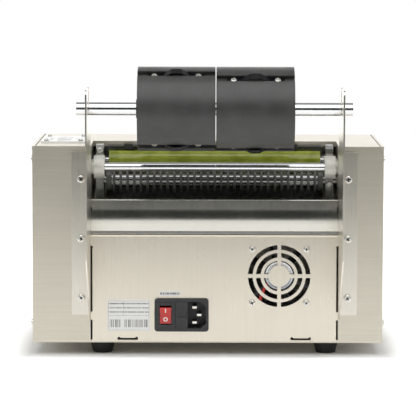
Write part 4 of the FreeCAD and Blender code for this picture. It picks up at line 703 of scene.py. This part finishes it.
# %% [markdown]
# ## Paper labels
# Two stickers sit on the rear panel: a rating plate and a small strip over the switch. Each is
# a thin sheet with rounded corners. The print is colour only, so the paper's material draws
# it: a frame, ruled rows broken into dashes, and a block of bars. There is nothing to read.

# %% Paper with ruled print
def stripe(tree, value, middle, half):
    """1 where value lies within half of the middle."""
    return sums(tree, "LESS_THAN",
                sums(tree, "ABSOLUTE", sums(tree, "SUBTRACT", value, middle)), half)


def paper(name, low, high, rows, bars=None, column=None):
    """White paper between two (x, z) corners in mm, with dashed rows, a bar block, a column."""
    material, tree, shader = new_finish(name)
    skin = use_group(tree, skin_group, Pebbles=2200.0)
    place = add_node(tree, "TexCoord").outputs["Object"]
    parts = add_node(tree, "SeparateXYZ")
    feed(tree, place, parts.inputs[0])
    across, up = parts.outputs["X"], parts.outputs["Z"]
    middle = [(a + b) / 2 * MM for a, b in zip(low, high)]
    half = [(b - a) / 2 * MM for a, b in zip(low, high)]
    margin, line = 0.0010, 0.00011
    within = inside_box(tree, place, (middle[0], 0, middle[1]),
                        (half[0] - margin + line, half[1] - margin + line))
    inner = inside_box(tree, place, (middle[0], 0, middle[1]),
                       (half[0] - margin - line, half[1] - margin - line))
    ink = sums(tree, "SUBTRACT", within, inner)
    for number, (height, thick) in enumerate(rows):
        dash = add_node(tree, "CombineXYZ")
        feed(tree, across, dash.inputs["X"])
        dash.inputs["Y"].default_value = number * 0.37
        broken = sums(tree, "GREATER_THAN", noise(tree, dash.outputs[0], 900.0, 1.0), 0.44)
        row = sums(tree, "MULTIPLY", stripe(tree, up, height * MM, thick * MM), broken)
        ink = sums(tree, "MAXIMUM", ink, sums(tree, "MULTIPLY", row, inner))
    if bars:
        block = inside_box(tree, place, (bars[0] * MM, 0, bars[1] * MM),
                           (bars[2] * MM, bars[3] * MM))
        line_up = add_node(tree, "CombineXYZ")
        feed(tree, across, line_up.inputs["X"])
        dark = sums(tree, "GREATER_THAN", noise(tree, line_up.outputs[0], 1500.0, 0.0), 0.5)
        ink = sums(tree, "MAXIMUM", ink, sums(tree, "MULTIPLY", block, dark))
    if column:
        rule = sums(tree, "MULTIPLY", stripe(tree, across, column[0] * MM, line),
                    sums(tree, "GREATER_THAN", up, column[1] * MM))
        ink = sums(tree, "MAXIMUM", ink, sums(tree, "MULTIPLY", rule, inner))
    white = blended(tree, skin["Mottle"], (0.80, 0.795, 0.77, 1), (0.88, 0.875, 0.85, 1))
    feed(tree, blended(tree, sums(tree, "MULTIPLY", ink, 0.8), white, (0.05, 0.05, 0.055, 1)),
         shader["Base Color"])
    feed(tree, sums(tree, "MULTIPLY_ADD", skin["Mottle"], 0.1, 0.42), shader["Roughness"])
    raise_surface(tree, skin["Height"], 0.00001, shader)
    return material


def sticker(name, low, high, face, thick, corner, finish):
    """A rounded paper sheet on the rear panel, between two (x, z) corners in mm."""
    sheet = add_block(name, (low[0], face - thick, low[1]), (high[0], face, high[1]))
    pick_edges(sheet, runs_along("Y"))
    bevel_picked(corner, 4)
    pick_faces(sheet, lambda centre, normal: normal.y < -0.9)
    bpy.ops.mesh.inset(thickness=0.1 * MM, depth=0)
    bpy.ops.object.mode_set(mode="OBJECT")
    smooth(sheet, 30)
    dress(sheet, finish, "case")


PAPER_THICK = 0.22
PANEL_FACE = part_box("left_side_cover")[0].y / MM
PLATE_LOW, PLATE_HIGH = (-92.6, 22.6), (-53.1, 51.7)
STRIP_LOW, STRIP_HIGH = (-44.7, 55.4), (-25.0, 60.0)
plate_paper = paper("rating_plate_paper", PLATE_LOW, PLATE_HIGH,
                    rows=((48.2, 0.5), (44.3, 0.45), (40.4, 0.45), (37.2, 0.12)),
                    bars=(-72.8, 29.8, 17.6, 3.6), column=(-77.5, 37.2))
strip_paper = paper("switch_strip_paper", STRIP_LOW, STRIP_HIGH, rows=((57.7, 0.8),))
sticker("rating_plate", PLATE_LOW, PLATE_HIGH, PANEL_FACE, PAPER_THICK, 0.8, plate_paper)
sticker("switch_strip", STRIP_LOW, STRIP_HIGH, PANEL_FACE, PAPER_THICK, 0.5, strip_paper)

# %% [markdown]
# ## The fan's foil disc
# Fans carry a round foil sticker on the base of the motor, and it flashes through the slots of the
# grille. It is a disc with a softly rolled rim and a faint printed circle. Its lower half is painted
# darker and bluer than the top, a painted shade that breaks up the mirror.

# %% Foil disc on the fan
FAN_MIDDLE = (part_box("fan_frame")[0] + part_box("fan_frame")[1]) / 2
FOIL_SINK = 2.0
FOIL_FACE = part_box("fan_frame")[0].y / MM + FOIL_SINK
FOIL_RADIUS = 12.9
FOIL_THICK = 0.25

foil, tree, shader = new_finish("fan_foil")
place = add_node(tree, "TexCoord").outputs["Object"]
flat = vectors(tree, "MULTIPLY", vectors(tree, "SUBTRACT", place, tuple(FAN_MIDDLE)), (1, 0, 1))
reach = vectors(tree, "LENGTH", flat)
circle = sums(tree, "MAXIMUM", stripe(tree, reach, 0.0112, 0.00018),
              stripe(tree, reach, 0.0060, 0.00018))
parts = add_node(tree, "SeparateXYZ")
feed(tree, flat, parts.inputs[0])
# Painted shade: the foil turns darker and bluer towards its bottom.
lower = clamped(tree, parts.outputs["Z"], 0.001, -0.009)
marks = use_group(tree, marks_group, Size=90.0)
silver_painted_shade = blended(tree, lower, (0.93, 0.93, 0.94, 1), (0.60, 0.64, 0.68, 1))
feed(tree, blended(tree, circle, silver_painted_shade, (0.10, 0.11, 0.13, 1)), shader["Base Color"])
feed(tree, sums(tree, "MULTIPLY_ADD", marks["Mask"], 0.2, 0.24), shader["Roughness"])
shader["Metallic"].default_value = 0.55
raise_surface(tree, marks["Mask"], 0.00003, shader)

disc = add_rod("fan_foil_disc", (FAN_MIDDLE.x / MM, FOIL_FACE - FOIL_THICK / 2, FAN_MIDDLE.z / MM),
               FOIL_RADIUS, FOIL_THICK, "Y", 64)
pick_faces(disc, lambda centre, normal: normal.y < -0.9)
bpy.ops.mesh.inset(thickness=0.4 * MM, depth=0)
bpy.ops.mesh.inset(thickness=1.3 * MM, depth=-0.08 * MM)
bpy.ops.object.mode_set(mode="OBJECT")
smooth(disc, 40)
dress(disc, foil, "case")

# %% [markdown]
# ## The operating panel
# On top of the left box a pale plate carries two keys and a counter window. We lay a smoked
# pane in the window's recess, put two seven-bar digits on it, and print what the keys do as
# raised shapes: an arrowhead for feed and a bar for cut.

# %% Smoked pane with two digits
smoked, tree, shader = new_finish("pane_smoked")
marks = use_group(tree, marks_group, Size=120.0)
feed(tree, blended(tree, marks["Mask"], (0.016, 0.016, 0.018, 1), (0.03, 0.03, 0.034, 1)),
     shader["Base Color"])
feed(tree, sums(tree, "MULTIPLY_ADD", marks["Mask"], 0.03, 0.02), shader["Roughness"])
shader["Coat Weight"].default_value = 1.0
print_ink, tree, shader = new_finish("panel_print_ink")
skin = use_group(tree, skin_group, Pebbles=2600.0)
feed(tree, blended(tree, skin["Mottle"], (0.03, 0.05, 0.09, 1), (0.05, 0.075, 0.12, 1)),
     shader["Base Color"])
feed(tree, sums(tree, "MULTIPLY_ADD", skin["Mottle"], 0.1, 0.4), shader["Roughness"])
lit_bar, tree, shader = new_finish("digit_bar_red")
skin = use_group(tree, skin_group, Pebbles=2600.0)
feed(tree, blended(tree, skin["Mottle"], (0.40, 0.02, 0.012, 1), (0.58, 0.035, 0.02, 1)),
     shader["Base Color"])
feed(tree, sums(tree, "MULTIPLY_ADD", skin["Mottle"], 0.1, 0.25), shader["Roughness"])

plate_low, plate_high = (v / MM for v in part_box("key_panel"))
PANEL_MIDDLE = (plate_low.x + plate_high.x) / 2
PANEL_TOP = plate_high.z
WELL_HALF = 12.0
PANE_AHEAD = 21.0
PANE_FRONT = (plate_low.y + plate_high.y) / 2 + PANE_AHEAD
PANE_DEEP = 16.0
PANE_SINK = 0.5
GAP = 0.15
pane = add_block("counter_pane",
                 (PANEL_MIDDLE - WELL_HALF + GAP, PANE_FRONT - PANE_DEEP + GAP, PANEL_TOP - PANE_SINK),
                 (PANEL_MIDDLE + WELL_HALF - GAP, PANE_FRONT - GAP, PANEL_TOP - 0.1))
pick_edges(pane, runs_along("Z"))
bevel_picked(0.6, 3)
pick_faces(pane, lambda centre, normal: normal.z > 0.9)
bpy.ops.mesh.inset(thickness=0.5 * MM, depth=0.08 * MM)
bpy.ops.object.mode_set(mode="OBJECT")
smooth(pane, 30)
dress(pane, smoked, "case")


def digit_bar(x, y, wide, deep):
    """One bar of a seven-bar digit, with its ends brought to a point."""
    bar = add_block("bar", (x - wide / 2, y - deep / 2, PANEL_TOP - 0.05),
                    (x + wide / 2, y + deep / 2, PANEL_TOP + 0.03))
    pick_edges(bar, runs_along("Z"))
    bevel_picked(min(wide, deep) * 0.48, 1)
    return bar


DIGIT_SHIFT, DIGIT_RISE, DIGIT_SIDE = 4.2, 4.4, 2.1
BAR_LONG, BAR_WIDE = 3.6, 0.8
bars = []
for shift in (-DIGIT_SHIFT, DIGIT_SHIFT):
    x, y = PANEL_MIDDLE + shift, PANE_FRONT - PANE_DEEP / 2
    for rise in (-DIGIT_RISE, 0, DIGIT_RISE):
        bars.append(digit_bar(x, y + rise, BAR_LONG, BAR_WIDE))
    for side in (-DIGIT_SIDE, DIGIT_SIDE):
        for rise in (-DIGIT_RISE / 2, DIGIT_RISE / 2):
            bars.append(digit_bar(x + side, y + rise, BAR_WIDE, BAR_LONG))
digits = join("counter_digits", bars)
dress(digits, lit_bar, "case")

# %% Printed shapes beside the keys
PRINT_THICK, PRINT_GAP = 0.1, 5
SHAPE_RADIUS, DOT_RADIUS = 2.2, 1.3


def printed_shape(name, x, y, radius, sides, squash):
    """A low raised print: a many-sided plate with a bevelled rim."""
    start_fresh()
    bpy.ops.mesh.primitive_cylinder_add(
        vertices=sides, radius=radius * MM, depth=PRINT_THICK * MM,
        location=(x * MM, y * MM, (PANEL_TOP + PRINT_THICK / 2) * MM), scale=(1, squash, 1))
    shape = settle(name)
    pick_faces(shape, lambda centre, normal: normal.z > 0.9)
    bpy.ops.mesh.inset(thickness=0.1 * MM, depth=0.02 * MM)
    bpy.ops.object.mode_set(mode="OBJECT")
    return shape


prints = []
for key, sides, squash in (("feed_key", 3, 1.0), ("cut_key", 4, 0.45)):
    key_low, key_high = (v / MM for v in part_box(key))
    middle = (key_low.y + key_high.y) / 2
    prints.append(printed_shape("print", key_low.x - PRINT_GAP, middle, SHAPE_RADIUS, sides, squash))
    prints.append(printed_shape("print", key_high.x + PRINT_GAP, middle, DOT_RADIUS, 24, 1.0))
dress(join("key_prints", prints), print_ink, "case")

# %% [markdown]
# ## Joints and cross recesses
# Two small dark things give the sheet metal its scale. Where a side cover meets the top of a box there
# is an open joint, which reads as a dark line. And a driver's cross is cut into each screw head: its
# floor never sees the light. We lay a black filler in both, painted shade that stands in for the shade
# in the joint and on the floor of the cross. Every screw gets a cross of its own size, and neighbours
# are turned differently.

# %% Painted shade in the open joints
painted_shade_filler = plastic("joint_shadow_black", (0.012, 0.011, 0.010), 0.6, dusty=0.1, worn=0.0)

JOINT_WIDE, JOINT_PROUD, JOINT_SHORT = 0.9, 0.12, 2.0
for side, name in ((1, "left"), (-1, "right")):
    cover_low, cover_high = (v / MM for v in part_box(name + "_side_cover"))
    box_low, box_high = (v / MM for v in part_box(name + "_housing"))
    edge = cover_high.x if side > 0 else cover_low.x
    across_joint = sorted((edge, edge + side * JOINT_WIDE))
    strip = add_block(name + "_cover_joint_painted_shade",
                      (across_joint[0], box_low.y + JOINT_SHORT, box_high.z - JOINT_PROUD),
                      (across_joint[1], box_high.y - JOINT_SHORT, box_high.z + JOINT_PROUD))
    pick_edges(strip, runs_along("Y"))
    bevel_picked(0.08, 2)
    smooth(strip, 30)
    dress(strip, painted_shade_filler, "case")
    print(strip.name, "at X", [round(x, 1) for x in across_joint])

# %% Painted shade for the crosses in the screw heads
CROSS_BAR, CROSS_DEEP, CROSS_SINK = 0.2, 0.3, 0.12
CROSS_SHARE = 0.62
TURNS = (0.3, 1.1, 0.7, 1.4, 0.1, 0.9)


def islands(node):
    """The boxes, in mm, of the separate solids in a node, found on a merged copy of its mesh."""
    shape = bmesh.new()
    shape.from_mesh(NODES[node].data)
    bmesh.ops.remove_doubles(shape, verts=shape.verts, dist=0.000002)
    waiting, boxes = set(shape.verts), []
    while waiting:
        front, found = [waiting.pop()], []
        while front:
            vertex = front.pop()
            found.append(vertex.co / MM)
            for edge in vertex.link_edges:
                other = edge.other_vert(vertex)
                if other in waiting:
                    waiting.remove(other)
                    front.append(other)
        boxes.append(tuple(Vector(pick(v[axis] for v in found) for axis in range(3))
                           for pick in (min, max)))
    shape.free()
    return sorted(boxes, key=lambda box: tuple(box[0]))


def cross_at(x, face, z, size, turn):
    """A driver's cross of painted shade that looks along -Y: two bevelled bars."""
    bars = []
    for long_x, long_z in ((size, size * CROSS_BAR), (size * CROSS_BAR, size)):
        bar = add_block("bar", (x - long_x / 2, face, z - long_z / 2),
                        (x + long_x / 2, face + CROSS_DEEP, z + long_z / 2))
        pick_edges(bar, runs_along("Y"))
        bevel_picked(size * CROSS_BAR * 0.3, 2)
        bars.append(bar)
    cross = join("cross", bars)
    turned = (Matrix.Translation((x * MM, 0, z * MM)) @ Matrix.Rotation(turn, 4, "Y")
              @ Matrix.Translation((-x * MM, 0, -z * MM)))
    cross.data.transform(turned)
    return cross


# Each cross is a black filler: painted shade for the unlit floor of the recess.
for node in ("big_screws", "fan_screws"):
    crosses = []
    for number, (low, high) in enumerate(islands(node)):
        if low.y > PANEL_FACE or high.x - low.x < (high.z - low.z) * 0.8:
            continue
        size = min(high.x - low.x, high.z - low.z) * CROSS_SHARE
        crosses.append(cross_at((low.x + high.x) / 2, low.y + CROSS_SINK,
                                (low.z + high.z) / 2, size, TURNS[number % len(TURNS)]))
    dress(join(node + "_crosses", crosses), painted_shade_filler, "case")
    print(node, len(crosses), "crosses")

# %% [markdown]
# ## The white of the studio
# The table is painted nearly white. Under the case and close to it there is no glow, so the shadow at
# the feet stays. Beyond the footprint the table glows a little, and towards the back it glows more and
# melts into the white of the room. That glow is painted light: the table's own emission, and no lamp.

# %% Paint the table, with a painted glow
studio_white_painted_glow, tree, shader = new_finish("studio_white_painted_glow")
place = add_node(tree, "TexCoord").outputs["Object"]
tone = clamped(tree, noise(tree, place, 3.0, 2.0), 0.2, 0.8)
feed(tree, blended(tree, tone, (0.93, 0.93, 0.925, 1), (0.95, 0.95, 0.95, 1)), shader["Base Color"])
shader["Roughness"].default_value = 0.8
CASE_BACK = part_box("rear_panel")[0].y
FOOTPRINT = ((cad_box[0][0], CASE_BACK), (cad_box[1][0], cad_box[1][1]))
NEAR_GLOW, FAR_GLOW = 0.36, 0.75
beyond = vectors(tree, "ABSOLUTE", vectors(tree, "SUBTRACT", place, tuple(
    (a + b) / 2 for a, b in zip(*FOOTPRINT)) + (0,)))
beyond = vectors(tree, "SUBTRACT", beyond, tuple(
    (b - a) / 2 for a, b in zip(*FOOTPRINT)) + (0,))
distance = vectors(tree, "LENGTH", vectors(tree, "MAXIMUM", beyond, (0, 0, 0)))
# Painted light: the table glows everywhere except under the case and within 2 cm of it.
glow = blended(tree, clamped(tree, distance, 0, 0.02), (0, 0, 0, 1), (NEAR_GLOW,) * 3 + (1,))
parts = add_node(tree, "SeparateXYZ")
feed(tree, place, parts.inputs[0])
feed(tree, blended(tree, clamped(tree, parts.outputs["Y"], 0.1, 0.5), glow, (FAR_GLOW,) * 3 + (1,)),
     shader["Emission Color"])
shader["Emission Strength"].default_value = 1.0
table.data.materials.append(studio_white_painted_glow)
